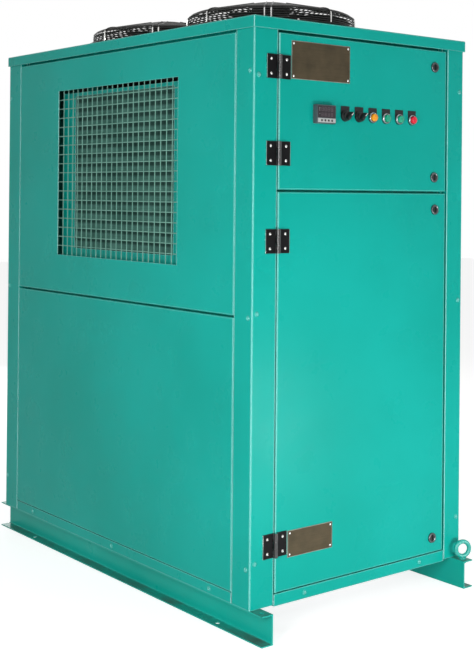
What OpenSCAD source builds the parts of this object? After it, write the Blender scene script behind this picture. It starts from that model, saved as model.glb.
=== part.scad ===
// Air-cooled water chiller in a sheet-steel cabinet. The cabinet stands on two base
// channels, with a control door over a service door at the front, air inlets behind
// wire mesh at both sides and two guarded fans on the roof. Millimetres, +Z up, door
// side towards -Y. The origin is on the floor, midway between the channel ends.

/* [Cabinet] */
// Width of the cabinet across the door side
body_w = 760; // [740:10:900]
// Depth of the cabinet from the door face to the rear face
body_d = 1260; // [1240:10:1500]
// Height of the cabinet above the base channels
body_h = 1450; // [1420:10:1650]
// Thickness of the cover sheets
sheet_t = 1.5; // [1:0.1:2]
// Outside radius of the bends along the cover edges
bend_r = 3; // [2.5:0.5:4]
// Seam between neighbouring covers
seam = 5; // [3:0.5:7]
// Distance from the cabinet's top down to the seam between control door and service door
door_split_drop = 427.5; // [390:2.5:500]
// Distance from the cabinet's top down to the seam between the side panels
side_split_drop = 740.5; // [720:0.5:800]

/* [Frame] */
// Width of a corner post's face
post_w = 75; // [66:1:82]
// Width of the post face beside the locks
latch_post_w = 63; // [56:1:75]
// Width of the front posts' side faces
front_side_w = 70; // [60:1:80]
// Thickness of the frame sheet
frame_t = 2; // [1.5:0.1:2.5]
// Depth of the frame's jambs behind the faces
jamb_d = 24; // [22:1:28]
// Width of the lips that the covers close on
lip_w = 15; // [10:1:18]
// Height of the bottom rails
rail_h = 27; // [22:1:27]

/* [Base channels] */
// Height of a base channel
channel_h = 75; // [70:1:100]
// Width of a base channel over its flanges
channel_w = 35; // [32:1:45]
// Thickness of the channel flanges
flange_t = 3; // [2.5:0.5:5]
// Thickness of the channel web
web_t = 3; // [2.5:0.5:5]
// Reach of the channels in front of the doors
channel_front = 49; // [46:1:80]
// Reach of the channels behind the rear panels
channel_back = 29; // [28:1:60]
// Diameter of the floor anchor holes
anchor_hole_d = 14; // [10:1:16]

/* [Roof and fans] */
// Height of the roof cap's skirt
cap_skirt_h = 30; // [24:1:40]
// Overhang of the roof cap past the covers
cap_overhang = 4; // [3.5:0.5:8]
// Distance of the front fan's axis from the door face
fan_first = 395; // [380:5:420]
// Distance between the two fan axes
fan_pitch = 515; // [512:1:540]
// Outside radius of a fan shroud
shroud_r = 243; // [220:1:246]
// Height of a fan shroud above the roof
shroud_h = 33; // [31:1:50]
// Diameter of the fan guard's wires
wire_d = 4; // [3:0.5:5]
// Height of a fan guard above its shroud
guard_h = 78; // [72:1:94]
// Number of fan blades
blade_count = 5; // [3:1:6]

/* [Air windows] */
// Width of each air window
window_w = 624; // [500:2:660]
// Height of each air window
window_h = 496; // [400:2:520]
// Height of the sill of an air window above its panel's lower edge
window_sill = 113; // [100:1:140]
// Mesh pitch
mesh_pitch = 27.2; // [20:0.2:40]
// Diameter of the mesh wires
mesh_wire_d = 3; // [2:0.5:4]

/* [Doors] */
// Depth of the door and panel flanges
door_d = 20; // [16:1:20]
// Gap between the hinge post and the doors
hinge_gap = 5; // [4.6:0.2:7]
// Gap between the doors and the lock post
latch_gap = 7; // [4:0.5:9]
// Length of a door hinge
hinge_len = 60; // [40:2:80]
// Width of one hinge leaf from the pin
hinge_leaf_w = 38.5; // [36:0.5:44]
// Thickness of the hinge leaves
hinge_leaf_t = 3; // [2:0.5:4]
// Diameter of the hinge pins
hinge_pin_d = 5; // [4:0.5:6]
// Outside diameter of a lock's ring
lock_ring_d = 28; // [24:1:34]
// Length of a lock's cam from its axis
cam_len = 46; // [40:1:47]

/* [Controls] */
// Height of the row of controls above the control door's lower edge
controls_h = 193; // [180:1:210]
// Distance of the first switch from the door's hinge edge, as a share of the door's width
controls_first_share = 0.367; // [0.358:0.001:0.39]
// Distance between neighbouring switches, as a share of the door's width
controls_pitch_share = 0.0815; // [0.0725:0.0005:0.09]
// Diameter of the switch bezels
bezel_d = 29.5; // [28:0.5:34]
// Height of the temperature controller's face
controller_side = 48; // [44:1:54]
// Width of the temperature controller's face
controller_w = 66; // [60:1:70]
// Distance of the controller's axis from the door's hinge edge, as a share of the door's width
controller_share = 0.24; // [0.222:0.001:0.246]
// Travel of the push buttons
button_travel = 4; // [2:0.5:5]

/* [Name plates] */
// Width of the upper name plate
plate_upper_w = 200; // [160:1:240]
// Height of the upper name plate
plate_upper_h = 96; // [70:1:100]
// Width of the lower name plate
plate_lower_w = 151; // [120:1:180]
// Height of the lower name plate
plate_lower_h = 67; // [50:1:80]

/* [Water side] */
// Bore of the water sockets, the tapping size of a 1 1/4 inch pipe thread
socket_bore_d = 39; // [36:0.5:42]
// Outside diameter of the water pipes
pipe_d = 42; // [38:0.5:44]
// Diameter of the water tank, as a share of the cabinet's width
tank_d_share = 0.5; // [0.44:0.005:0.51]
// Height of the water tank, as a share of the machine room's height
tank_h_share = 0.715; // [0.69:0.005:0.76]

/* [Hidden] */
$fn = 48;

// One overrun for every cut, and the gap between pieces on different bodies
over = 1;
rest_gap = 0.3;
run_gap = 0.06;

// Levels and edges of the cabinet
left_x = -body_w / 2;
right_x = body_w / 2;
channel_len = channel_front + body_d + channel_back;
front_y = -channel_len / 2 + channel_front;
rear_y = front_y + body_d;
mid_y = (front_y + rear_y) / 2;
foot_z = channel_h;
top_z = foot_z + body_h;
cap_z = top_z - cap_skirt_h;
cover_top_z = cap_z - seam;
cover_low_z = foot_z + rail_h + seam / 5;
door_split_z = top_z - door_split_drop;
side_split_z = top_z - side_split_drop;
cover_d = jamb_d - frame_t;

// Openings between the posts
door_x = left_x + post_w + hinge_gap;
door_w = body_w - post_w - hinge_gap - latch_gap - latch_post_w;
panel_gap = 3;
side_y = front_y + front_side_w + panel_gap;
side_len = body_d - front_side_w - post_w - 2 * panel_gap;
rear_x = left_x + post_w + panel_gap;
rear_w = body_w - 2 * post_w - 2 * panel_gap;
control_door_z = door_split_z + seam / 2;
control_door_h = cover_top_z - control_door_z;
service_door_h = door_split_z - seam / 2 - cover_low_z;
side_upper_z = side_split_z + seam / 2;
side_upper_h = cover_top_z - side_upper_z;
side_lower_h = side_split_z - seam / 2 - cover_low_z;
lip_left_x = left_x + post_w + lip_w;
lip_right_x = right_x - latch_post_w - lip_w;

// Painted screws
screw_head_r = 6.5;
screw_head_h = 3.5;
screw_shank_r = 3.9;
screw_hole_r = 4;
screw_len = 14;
screw_inset = 15;
front_screw_shares = [0.077, 0.497, 0.9];
side_screw_shares = [0.067, 0.49, 0.907];
front_rail_screw_shares = [0.163, 0.843];
side_rail_screw_shares = [0.081, 0.494, 0.907];

// Frame rails
rail_drop = 4;
top_lip_h = 20;
mid_lip = 22;
mid_flange = 28;
sill_up = 18;
pan_t = 2;
plenum_h = 640;
deck_z = top_z - plenum_h;
deck_flange = 30;

// Channels and eyebolt
channel_fillet = 4;
anchor_inset = 195;
lift_inset = 22;
eye_tube_r = 6;
eye_ring_r = 20;
eye_turn = -22;
eye_shank_r = 6;
eye_collar_r = 10;
eye_collar_h = 3.5;
eye_nut_r = 10;
eye_nut_h = 8;

// Hinges
pin_x = left_x + post_w + hinge_gap / 2;
knuckle_r = 5.6;
pin_y = front_y - knuckle_r - rest_gap;
knuckle_gap = 0.35;
control_hinge_insets = [89.5, 86];
service_hinge_insets = [120, 122.5];
hinge_zs = [
    control_door_z + control_hinge_insets[0],
    control_door_z + control_door_h - control_hinge_insets[1],
    cover_low_z + service_hinge_insets[0],
    cover_low_z + service_door_h - service_hinge_insets[1]
];
hinge_screw_r = 3.6;
hinge_screw_h = 1.6;
hinge_screw_x_share = 0.64;
hinge_screw_z_share = 0.3;
hinge_screw_shank_r = 1.9;

// Locks: place from the door's lock edge and from its lower edge
control_lock_inset = 48;
service_lock_inset = 44;
control_lock_low = 39;
control_lock_top = 47;
service_lock_low = 41;
service_lock_top = 45;
lock_ring_h = 5;
lock_barrel_r = 10;
lock_core_r = 8.5;
cam_w = 16;
cam_t = 3;
cam_clear = 1.5;
lock_slot_w = 2.5;
lock_slot_d = 2;

// Controls
legend_w = 30;
legend_h = 40;
legend_t = 1.2;
bezel_h = 6;
barrel_r = 11;
barrel_len = 24;
button_r = 9.6;
button_proud = 6;
knob_r = 12.4;
knob_h = 6;
grip_w = 9;
grip_h = 12;
block_side = 30;
block_len = 26;
selector_turn = 45;
controller_proud = 16;
controller_bevel = 6;
controller_body_less = 3.4;
controller_len = 62;
controller_cut_less = 3;
controller_clamp = 3;

// Name plates: offsets from the door's hinge edge and from its top or lower edge
plate_t = 1.2;
plate_upper_x = 39.5;
plate_upper_top = 17;
plate_lower_x = 40;
plate_lower_low = 81;
plate_screw_inset = 7;
plate_screw_r = 3;
plate_screw_h = 1.5;

// Seals on the frame lips
seal_w = 10;
seal_t = cover_d - door_d - rest_gap;

// Fans
fan_x = 0;
fan_ys = [front_y + fan_first, front_y + fan_first + fan_pitch];
shroud_t = 2;
shroud_top_z = top_z + shroud_h;
shroud_drop = 15;
shroud_flange = 13;
shroud_flange_t = 3;
roof_flange = 12;
cap_hole_gap = 0.5;
guard_shoulder_share = 0.82;
guard_wall_share = 0.35;
guard_dome_share = 0.59;
guard_base_w = 8;
wall_ring_shares = [0.13, 0.24, 0.35];
shoulder_angles = [20, 42, 64];
top_ring_count = 6;
hub_plate_r = 66;
hub_hole_r = 40;
hub_plate_t = 3;
twin_rib_gap = 18;
guard_turns = [3.4, 1];
stator_r = 54;
stator_gap = 0.4;
stator_h = 26;
stator_cap_h = 4;
motor_shaft_r = 9;
rotor_hub_r = 56;
rotor_hub_h = 60;
blade_tip_gap = 6;
blade_h = 34;
blade_t = 4;
blade_pitch = 24;
blade_chord = 210;

// Condenser coils
casing_d = 80;
casing_len = 650;
casing_h = 504;
casing_front_margin = 68;
casing_rear_margin = 70;
casing_low_margin = 37;
casing_top_margin = 11;
casing_t = 1.5;
header_r = 14;
header_gap = 22;
feeder_r = 5;
feeder_count = 6;
coil_shift = 5;
coil_y = mid_y - casing_len / 2 - coil_shift;

// Control compartment
box_d = 150;
box_t = 1.5;
plate_margin = 22;
mounting_t = 2.5;
duct_w = 30;
duct_d = 60;
din_w = 35;
din_t = 7;
breaker_w = 18;
breaker_h = 84;
breaker_d = 62;
contactor_w = 45;
contactor_h = 76;
contactor_d = 66;
terminal_w = 8;
terminal_h = 44;
terminal_d = 40;
breaker_count = 7;
contactor_count = 5;
terminal_count = 26;
device_share = 0.78;
terminal_share = 0.2;

// Machine room, places as shares of the cabinet's width, depth and room height
floor_z = foot_z + rail_h;
room_h = deck_z - floor_z;
mount_r = 18;
mount_h = 25;
comp_x_share = 0.309;
comp_y_share = 0.341;
comp_x = left_x + comp_x_share * body_w;
comp_y = front_y + comp_y_share * body_d;
comp_r = 95;
comp_h = 430;
comp_dome = 40;
comp_foot = 230;
comp_foot_t = 5;
comp_mount_share = 0.4;
comp_box = [70, 26, 90];
gas_r = 11;
liquid_r = 8;
suction_share = 0.4;
suction_z = floor_z + mount_h + suction_share * comp_h;
gas_rise = 36;
evap_x_share = 0.684;
evap_y_share = 0.262;
evap_x = left_x + evap_x_share * body_w;
evap_y = front_y + evap_y_share * body_d;
evap_w = 110;
evap_d = 80;
evap_h = 445;
evap_port = 32;
evap_port_len = 22;
evap_foot_h = 25;
port_collar = 4;
tank_x_share = 0.41;
tank_y_share = 0.738;
tank_x = left_x + tank_x_share * body_w;
tank_y = front_y + tank_y_share * body_d;
tank_d = tank_d_share * body_w;
tank_h = tank_h_share * room_h;
tank_dome = 45;
tank_leg_r = 14;
tank_boss = 14;
tank_wall = 3;
water_inset_share = 0.21;
water_x = right_x - water_inset_share * body_w;
pump_head_r = 78;
pump_head_len = 80;
pump_motor_r = 64;
pump_motor_len = 210;
pump_clear = 15;
pump_y = evap_y + evap_d + evap_port_len + 1.5 * pipe_d + pump_clear + pump_motor_len;
pump_rise = 20;
pump_z = floor_z + pump_head_r + pump_rise;
inlet_z = floor_z + mount_h + tank_h - tank_dome;
drier_r = 34;
drier_len = 150;
socket_r = 27;
socket_out = 22;
socket_in = 30;
gland_share = 0.817;
gland_z = floor_z + gland_share * room_h;
gland_r = 21;
gland_neck_r = 15.75;
gland_bore_r = 10;
gland_out = 22;
gland_nut_t = 6;

// Places each child at the mirror image across the cabinet's width
module mirrored_x() {
    mirror([1, 0, 0]) children();
}

// Places each child at the mirror image across the cabinet's depth
module mirrored_y() {
    translate([0, 2 * mid_y, 0]) mirror([0, 1, 0]) children();
}

// Outline of a sheet edge seen along its bend: width w, depth d, two rounded front corners
module bent_outline(w, d, r) {
    translate([r, 0]) square([w - 2 * r, d]);
    translate([0, r]) square([w, d - r]);
    translate([r, r]) circle(r);
    translate([w - r, r]) circle(r);
}

// Solid block with its front edges rounded, face on y = 0, depth along +Y
module bent_block(w, d, h, r) {
    intersection() {
        linear_extrude(h) bent_outline(w, d, r);
        rotate([90, 0, 90]) linear_extrude(w)
            rotate([0, 0, 90]) mirror([0, 1]) bent_outline(h, d, r);
    }
}

// Folded cover: a flat sheet with flanges turned back all round
module folded_cover(w, d, h) {
    difference() {
        bent_block(w, d, h, bend_r);
        translate([sheet_t, sheet_t, sheet_t])
            bent_block(w - 2 * sheet_t, d, h - 2 * sheet_t, bend_r - sheet_t);
    }
}

// Cylinder along +Y from the given point
module rod_y(r, len) {
    rotate([-90, 0, 0]) cylinder(r = r, h = len);
}

// Cylinder along +X from the given point
module rod_x(r, len) {
    rotate([0, 90, 0]) cylinder(r = r, h = len);
}

// Domed screw with its shank, head proud of y = 0 towards -Y
module domed_screw(head_r, head_h, shank_r, len) {
    ball_r = (head_r * head_r + head_h * head_h) / (2 * head_h);
    intersection() {
        translate([0, ball_r - head_h, 0]) sphere(ball_r);
        translate([0, -head_h, 0]) rod_y(head_r, head_h);
    }
    rod_y(shank_r, len);
}

// Pipe through a list of points with round elbows
module pipe_run(points, r) {
    for (i = [0 : len(points) - 2]) {
        step = points[i + 1] - points[i];
        span = norm(step);
        translate(points[i]) rotate([0, acos(step[2] / span), atan2(step[1], step[0])])
            cylinder(r = r, h = span);
        if (i > 0) translate(points[i]) sphere(r);
    }
}

// Base channels

function anchor_ys() = [for (side = [-1, 1]) side * (channel_len / 2 - anchor_inset)];

// Section of a channel: flanges point outwards, fillets in the throat
module channel_section() {
    difference() {
        square([channel_w, channel_h]);
        translate([-over, flange_t])
            square([channel_w - web_t - channel_fillet + over, channel_h - 2 * flange_t]);
        translate([-over, flange_t + channel_fillet])
            square([channel_w - web_t + over, channel_h - 2 * flange_t - 2 * channel_fillet]);
        for (z = [flange_t + channel_fillet, channel_h - flange_t - channel_fillet])
            translate([channel_w - web_t - channel_fillet, z]) circle(channel_fillet);
    }
}

module base_channel() {
    anchor_x = left_x + (channel_w - web_t) / 2;
    difference() {
        translate([left_x, channel_len / 2, 0]) rotate([90, 0, 0])
            linear_extrude(channel_len) channel_section();
        for (y = anchor_ys()) translate([anchor_x, y, -over])
            cylinder(r = anchor_hole_d / 2, h = flange_t + 2 * over);
        translate([anchor_x, -channel_len / 2 + lift_inset, channel_h - flange_t - over])
            cylinder(r = eye_shank_r, h = flange_t + 2 * over);
    }
}

module base_channel_left() { color([0.12, 0.62, 0.56]) base_channel(); }
module base_channel_right() { color([0.12, 0.62, 0.56]) mirrored_x() base_channel(); }

// Eyebolt through the right channel's top flange, with its collar and nut
module lifting_eyebolt() {
    anchor_x = right_x - (channel_w - web_t) / 2;
    color([0.2, 0.72, 0.66])
    translate([anchor_x, -channel_len / 2 + lift_inset, channel_h]) {
        translate([0, 0, eye_ring_r + eye_tube_r + eye_collar_h / 2]) rotate([90, 0, eye_turn])
            rotate_extrude() translate([eye_ring_r, 0]) circle(eye_tube_r);
        cylinder(r = eye_collar_r, h = eye_collar_h);
        translate([0, 0, -flange_t - eye_nut_h])
            cylinder(r = eye_shank_r, h = flange_t + eye_nut_h + over);
        translate([0, 0, -flange_t - eye_nut_h]) cylinder(r = eye_nut_r, h = eye_nut_h, $fn = 6);
    }
}

// Posts and rails

module post_section(face_w, side_w) {
    difference() {
        union() {
            square([face_w, frame_t]);
            square([frame_t, side_w]);
            translate([face_w - frame_t, 0]) square([frame_t, jamb_d]);
            translate([face_w - frame_t, jamb_d - frame_t]) square([frame_t + lip_w, frame_t]);
            translate([0, side_w - frame_t]) square([jamb_d, frame_t]);
            translate([jamb_d - frame_t, side_w - frame_t]) square([frame_t, frame_t + lip_w]);
        }
        difference() {
            translate([-over, -over]) square(bend_r + over);
            translate([bend_r, bend_r]) circle(bend_r);
        }
    }
}

// Post at a front left corner, with its screw holes
module corner_post(face_w, side_w) {
    difference() {
        linear_extrude(body_h - sheet_t) post_section(face_w, side_w);
        for (s = front_screw_shares) translate([screw_inset, -over, s * body_h])
            rod_y(screw_hole_r, frame_t + 2 * over);
        for (s = side_screw_shares) translate([-over, screw_inset, s * body_h])
            rod_x(screw_hole_r, frame_t + 2 * over);
    }
}

module corner_posts() {
    color([0.13, 0.64, 0.58]) {
        translate([left_x, front_y, foot_z]) corner_post(post_w, front_side_w);
        mirrored_x() translate([left_x, front_y, foot_z]) corner_post(latch_post_w, front_side_w);
        mirrored_y() {
            translate([left_x, front_y, foot_z]) corner_post(post_w, post_w);
            mirrored_x() translate([left_x, front_y, foot_z]) corner_post(post_w, post_w);
        }
    }
}

// Bottom rail: a folded channel with its screw holes, face on y = 0
module bottom_rail(len, h, shares) {
    difference() {
        cube([len, cover_d, h]);
        translate([-over, frame_t, frame_t]) cube([len + 2 * over, cover_d, h - 2 * frame_t]);
        for (s = shares) translate([s * len, -over, h / 2]) rod_y(screw_hole_r, frame_t + 2 * over);
    }
}

// Flat lip that a cover closes on, behind the cover plane
module lip(len, low, high) {
    translate([0, cover_d, low]) cube([len, frame_t, high - low]);
}

// Middle rail behind a seam: lip with two flanges
module mid_rail(len, z) {
    lip(len, z - mid_lip, z + mid_lip);
    for (level = [z - mid_lip, z + mid_lip - frame_t])
        translate([0, cover_d, level]) cube([len, mid_flange, frame_t]);
}

// Top rail: lip with a ledge that carries the roof cap
module top_rail(len) {
    lip(len, cover_top_z - top_lip_h, top_z - sheet_t);
    translate([0, frame_t, top_z - sheet_t - frame_t]) cube([len, cover_d, frame_t]);
}

// Turns pieces drawn on the door side to the left side, starting at depth y
module on_left(y, len) {
    translate([left_x, y + len, 0]) rotate([0, 0, -90]) children();
}

module side_rails() {
    span = body_d - front_side_w - post_w - 2 * lip_w;
    on_left(front_y + front_side_w + panel_gap, side_len)
        translate([0, 0, foot_z]) bottom_rail(side_len, rail_h, [for (s = side_rail_screw_shares) 1 - s]);
    on_left(front_y + front_side_w + lip_w, span) {
        mid_rail(span, side_split_z);
        top_rail(span);
    }
}

module frame_rails() {
    front_len = lip_right_x - lip_left_x;
    rear_len = body_w - 2 * post_w - 2 * lip_w;
    front_rail_x = left_x + post_w + panel_gap;
    color([0.12, 0.6, 0.54]) {
        translate([front_rail_x, front_y, foot_z - rail_drop])
            bottom_rail(body_w - post_w - latch_post_w - 2 * panel_gap, rail_h + rail_drop - seam / 5,
                front_rail_screw_shares);
        translate([lip_left_x, front_y, 0]) {
            lip(front_len, floor_z - frame_t - sheet_t, floor_z + sill_up);
            mid_rail(front_len, door_split_z);
            top_rail(front_len);
        }
        side_rails();
        mirrored_x() side_rails();
        mirrored_y() {
            translate([rear_x, front_y, foot_z]) bottom_rail(rear_w, rail_h, front_rail_screw_shares);
            translate([left_x + post_w + lip_w, front_y, 0]) {
                mid_rail(rear_len, side_split_z);
                top_rail(rear_len);
            }
        }
    }
}

// Tray with down-turned flanges, inside the frame's jambs
module inner_tray(top, flange) {
    w = body_w - 2 * jamb_d;
    d = body_d - 2 * jamb_d;
    translate([left_x + jamb_d, front_y + jamb_d, top - flange]) difference() {
        cube([w, d, flange]);
        translate([pan_t, pan_t, -over]) cube([w - 2 * pan_t, d - 2 * pan_t, flange - pan_t + over]);
    }
}

module floor_pan() { color([0.62, 0.64, 0.65]) inner_tray(floor_z, rail_h); }

module mid_deck() {
    color([0.62, 0.64, 0.65]) difference() {
        inner_tray(deck_z, deck_flange);
        translate([comp_x, comp_y, deck_z - pan_t - over]) cylinder(r = 1.4 * gas_r, h = pan_t + 2 * over);
        for (x = [-coil_pipe_x, coil_pipe_x]) translate([x, liquid_header_y, deck_z - pan_t - over])
            cylinder(r = 1.4 * liquid_r, h = pan_t + 2 * over);
    }
}

// Roof cap: a shallow lid with two fan openings
module roof_cap() {
    w = body_w + 2 * cap_overhang;
    d = body_d + 2 * cap_overhang;
    color([0.13, 0.64, 0.58])
    difference() {
        translate([-w / 2, front_y - cap_overhang, top_z])
            rotate([-90, 0, 0]) folded_cover(w, cap_skirt_h, d);
        for (y = fan_ys) translate([fan_x, y, top_z - sheet_t - over])
            cylinder(r = shroud_r + cap_hole_gap, h = sheet_t + 2 * over, $fn = 96);
    }
}

// Covers

module side_panel_upper() {
    on_left(side_y, side_len) translate([0, 0, side_upper_z]) difference() {
        folded_cover(side_len, cover_d, side_upper_h);
        translate([(side_len - window_w) / 2 + window_shift, -over, window_sill])
            cube([window_w, sheet_t + 2 * over, window_h]);
    }
}
// The window is centred on the cabinet's depth, not on its panel
window_shift = (post_w - front_side_w) / -2;

module side_panel_lower() {
    on_left(side_y, side_len) translate([0, 0, cover_low_z]) folded_cover(side_len, cover_d, side_lower_h);
}

module side_panel_left_upper() { color([0.13, 0.64, 0.58]) side_panel_upper(); }
module side_panel_left_lower() { color([0.12, 0.6, 0.54]) side_panel_lower(); }
module side_panel_right_upper() { color([0.13, 0.64, 0.58]) mirrored_x() side_panel_upper(); }
module side_panel_right_lower() { color([0.12, 0.6, 0.54]) mirrored_x() side_panel_lower(); }

module rear_panel_upper() {
    color([0.13, 0.64, 0.58]) mirrored_y() translate([rear_x, front_y, side_upper_z])
        folded_cover(rear_w, cover_d, side_upper_h);
}

module rear_panel_lower() {
    color([0.12, 0.6, 0.54]) difference() {
        mirrored_y() translate([rear_x, front_y, cover_low_z])
            folded_cover(rear_w, cover_d, side_lower_h);
        for (z = [inlet_z, outlet_z]) translate([water_x, rear_y - sheet_t - over, z])
            rod_y(socket_r + cap_hole_gap, sheet_t + 2 * over);
        translate([-water_x, rear_y - sheet_t - over, gland_z])
            rod_y(gland_neck_r + cap_hole_gap, sheet_t + 2 * over);
    }
}

// Wire mesh behind an air window
module mesh_sheet() {
    columns = round(window_w / mesh_pitch);
    rows = round(window_h / mesh_pitch);
    lap = mesh_wire_d * 2;
    px = window_w / columns;
    pz = window_h / rows;
    translate([(side_len - window_w) / 2 + window_shift, sheet_t + mesh_wire_d, side_upper_z + window_sill])
        rotate([90, 0, 0]) linear_extrude(mesh_wire_d) {
            for (i = [0 : columns]) translate([i * px - mesh_wire_d / 2, -lap])
                square([mesh_wire_d, window_h + 2 * lap]);
            for (i = [0 : rows]) translate([-lap, i * pz - mesh_wire_d / 2])
                square([window_w + 2 * lap, mesh_wire_d]);
        }
}

module mesh_left() { color([0.5, 0.7, 0.64]) on_left(side_y, side_len) mesh_sheet(); }
module mesh_right() { color([0.5, 0.7, 0.64]) mirrored_x() on_left(side_y, side_len) mesh_sheet(); }

// Doors

// Switch places on the control door: the two selectors, then the four buttons
switch_z = control_door_z + controls_h;
switch_xs = [for (i = [0 : 5]) door_x + (controls_first_share + i * controls_pitch_share) * door_w];
controller_x = door_x + controller_share * door_w;
lock_places = [
    [door_x + door_w - control_lock_inset, control_door_z + control_lock_low],
    [door_x + door_w - control_lock_inset, control_door_z + control_door_h - control_lock_top],
    [door_x + door_w - service_lock_inset, cover_low_z + service_lock_low],
    [door_x + door_w - service_lock_inset, cover_low_z + service_door_h - service_lock_top]
];

// Holes for the hinge screws in the door sheets
module leaf_screw_cuts(zs, side) {
    for (z = zs, up = [-1, 1])
        translate([pin_x + side * hinge_leaf_w * hinge_screw_x_share,
            front_y - over, z + up * hinge_len * hinge_screw_z_share])
            rod_y(hinge_screw_shank_r, sheet_t + 2 * over);
}

module lock_cuts(ids) {
    for (i = ids) translate([lock_places[i][0], front_y - over, lock_places[i][1]])
        rod_y(lock_barrel_r + cap_hole_gap / 2, sheet_t + 2 * over);
}

module control_door() {
    color([0.12, 0.6, 0.54]) difference() {
        translate([door_x, front_y, control_door_z]) folded_cover(door_w, door_d, control_door_h);
        lock_cuts([0, 1]);
        leaf_screw_cuts([hinge_zs[0], hinge_zs[1]], 1);
        for (x = switch_xs) translate([x, front_y - over, switch_z])
            rod_y(barrel_r + cap_hole_gap / 2, sheet_t + 2 * over);
        translate([controller_x - (controller_w - controller_cut_less) / 2, front_y - over,
            switch_z - (controller_side - controller_cut_less) / 2])
            cube([controller_w - controller_cut_less, sheet_t + 2 * over,
                controller_side - controller_cut_less]);
    }
}

module service_door() {
    color([0.16, 0.7, 0.65]) difference() {
        translate([door_x, front_y, cover_low_z]) folded_cover(door_w, door_d, service_door_h);
        lock_cuts([2, 3]);
        leaf_screw_cuts([hinge_zs[2], hinge_zs[3]], 1);
    }
}

// Seal ring on the lips behind a door
module seal_ring(low, high) {
    x = left_x + post_w + lip_w - seal_w;
    w = lip_right_x - lip_left_x + 2 * seal_w;
    translate([x, front_y + cover_d - seal_t, low]) difference() {
        cube([w, seal_t, high - low]);
        translate([seal_w, -over, seal_w]) cube([w - 2 * seal_w, seal_t + 2 * over, high - low - 2 * seal_w]);
    }
}

module door_seals() {
    color([0.07, 0.07, 0.07]) {
        seal_ring(cover_low_z + bend_r, door_split_z - seam);
        seal_ring(door_split_z + seam, cover_top_z - bend_r);
    }
}

// Hinges: the frame leaf carries the outer knuckles, the door leaf the middle one

// One knuckle on the pin axis between two shares of the hinge's length
module knuckle(low, high, bore_r) {
    translate([0, 0, low]) difference() {
        cylinder(r = knuckle_r, h = high - low);
        translate([0, 0, -over]) cylinder(r = bore_r, h = high - low + 2 * over);
    }
}

// Leaf from the pin to its free edge, drawn for the door side
module hinge_leaf(knuckles, bore_r) {
    slot = knuckle_r + rest_gap;
    difference() {
        translate([0, knuckle_r + rest_gap - hinge_leaf_t, -hinge_len / 2])
            cube([hinge_leaf_w, hinge_leaf_t, hinge_len]);
        translate([-over, -over, -hinge_len]) cube([over + rest_gap, 2 * knuckle_r, 2 * hinge_len]);
        for (k = knuckles) translate([-over, -over, k[2]])
            cube([slot + over, 2 * knuckle_r, k[3] - k[2]]);
        for (up = [-1, 1])
            translate([hinge_leaf_w * hinge_screw_x_share, 0, up * hinge_len * hinge_screw_z_share])
            rod_y(hinge_screw_shank_r, 2 * knuckle_r);
    }
    for (k = knuckles) difference() {
        union() {
            knuckle(k[0], k[1], bore_r);
            translate([0, knuckle_r - hinge_leaf_t + rest_gap, k[0]])
                cube([slot, hinge_leaf_t - rest_gap, k[1] - k[0]]);
        }
        translate([0, 0, k[0] - over]) cylinder(r = bore_r, h = k[1] - k[0] + 2 * over);
    }
}

// Knuckle spans, each with the span that its neighbour needs cut away
knuckle_out = (hinge_len / 3 + knuckle_gap) / 2;
knuckle_in = (hinge_len / 3 - knuckle_gap) / 2;
frame_knuckles = [
    [-hinge_len / 2, -knuckle_out, -knuckle_out, knuckle_out],
    [knuckle_out, hinge_len / 2, -knuckle_out, knuckle_out]
];
door_knuckles = [
    [-knuckle_in, knuckle_in, -hinge_len, -knuckle_in],
    [-knuckle_in, knuckle_in, knuckle_in, hinge_len]
];

module hinge_frame_leaves() {
    color([0.1, 0.1, 0.1]) for (z = hinge_zs) translate([pin_x, pin_y, z])
        mirrored_x() hinge_leaf(frame_knuckles, hinge_pin_d / 2);
}

module door_leaves(zs) {
    color([0.1, 0.1, 0.1]) for (z = zs) translate([pin_x, pin_y, z])
        hinge_leaf(door_knuckles, hinge_pin_d / 2 + run_gap);
}

module hinge_leaves_control() { door_leaves([hinge_zs[0], hinge_zs[1]]); }
module hinge_leaves_service() { door_leaves([hinge_zs[2], hinge_zs[3]]); }

module hinge_pins() {
    color([0.8, 0.8, 0.8]) for (z = hinge_zs) translate([pin_x, pin_y, z - hinge_len / 2])
        cylinder(r = hinge_pin_d / 2, h = hinge_len);
}

// Screws of the hinge leaves, on the frame side (-1) or the door side (1)
module leaf_screws(zs, side) {
    color([0.75, 0.75, 0.75]) for (z = zs, up = [-1, 1])
        translate([pin_x + side * hinge_leaf_w * hinge_screw_x_share, front_y - hinge_leaf_t,
            z + up * hinge_len * hinge_screw_z_share])
            domed_screw(hinge_screw_r, hinge_screw_h, hinge_screw_shank_r - run_gap, hinge_leaf_t + sheet_t);
}

module hinge_screws_frame() {
    color([0.75, 0.75, 0.75]) for (z = hinge_zs, up = [-1, 1])
        translate([pin_x - hinge_leaf_w * hinge_screw_x_share, front_y - hinge_leaf_t,
            z + up * hinge_len * hinge_screw_z_share])
            domed_screw(hinge_screw_r, hinge_screw_h, hinge_screw_shank_r - run_gap, hinge_leaf_t);
}
module hinge_screws_control() { leaf_screws([hinge_zs[0], hinge_zs[1]], 1); }
module hinge_screws_service() { leaf_screws([hinge_zs[2], hinge_zs[3]], 1); }

// Painted screws of the posts and rails

module post_screws() {
    for (s = front_screw_shares) translate([left_x + screw_inset, front_y, foot_z + s * body_h])
        domed_screw(screw_head_r, screw_head_h, screw_shank_r, screw_len);
    for (s = side_screw_shares) translate([left_x, front_y + screw_inset, foot_z + s * body_h])
        rotate([0, 0, -90]) domed_screw(screw_head_r, screw_head_h, screw_shank_r, screw_len);
}

module rail_screws(x, len, z, shares) {
    for (s = shares) translate([x + s * len, front_y, z])
        domed_screw(screw_head_r, screw_head_h, screw_shank_r, screw_len);
}

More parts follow.
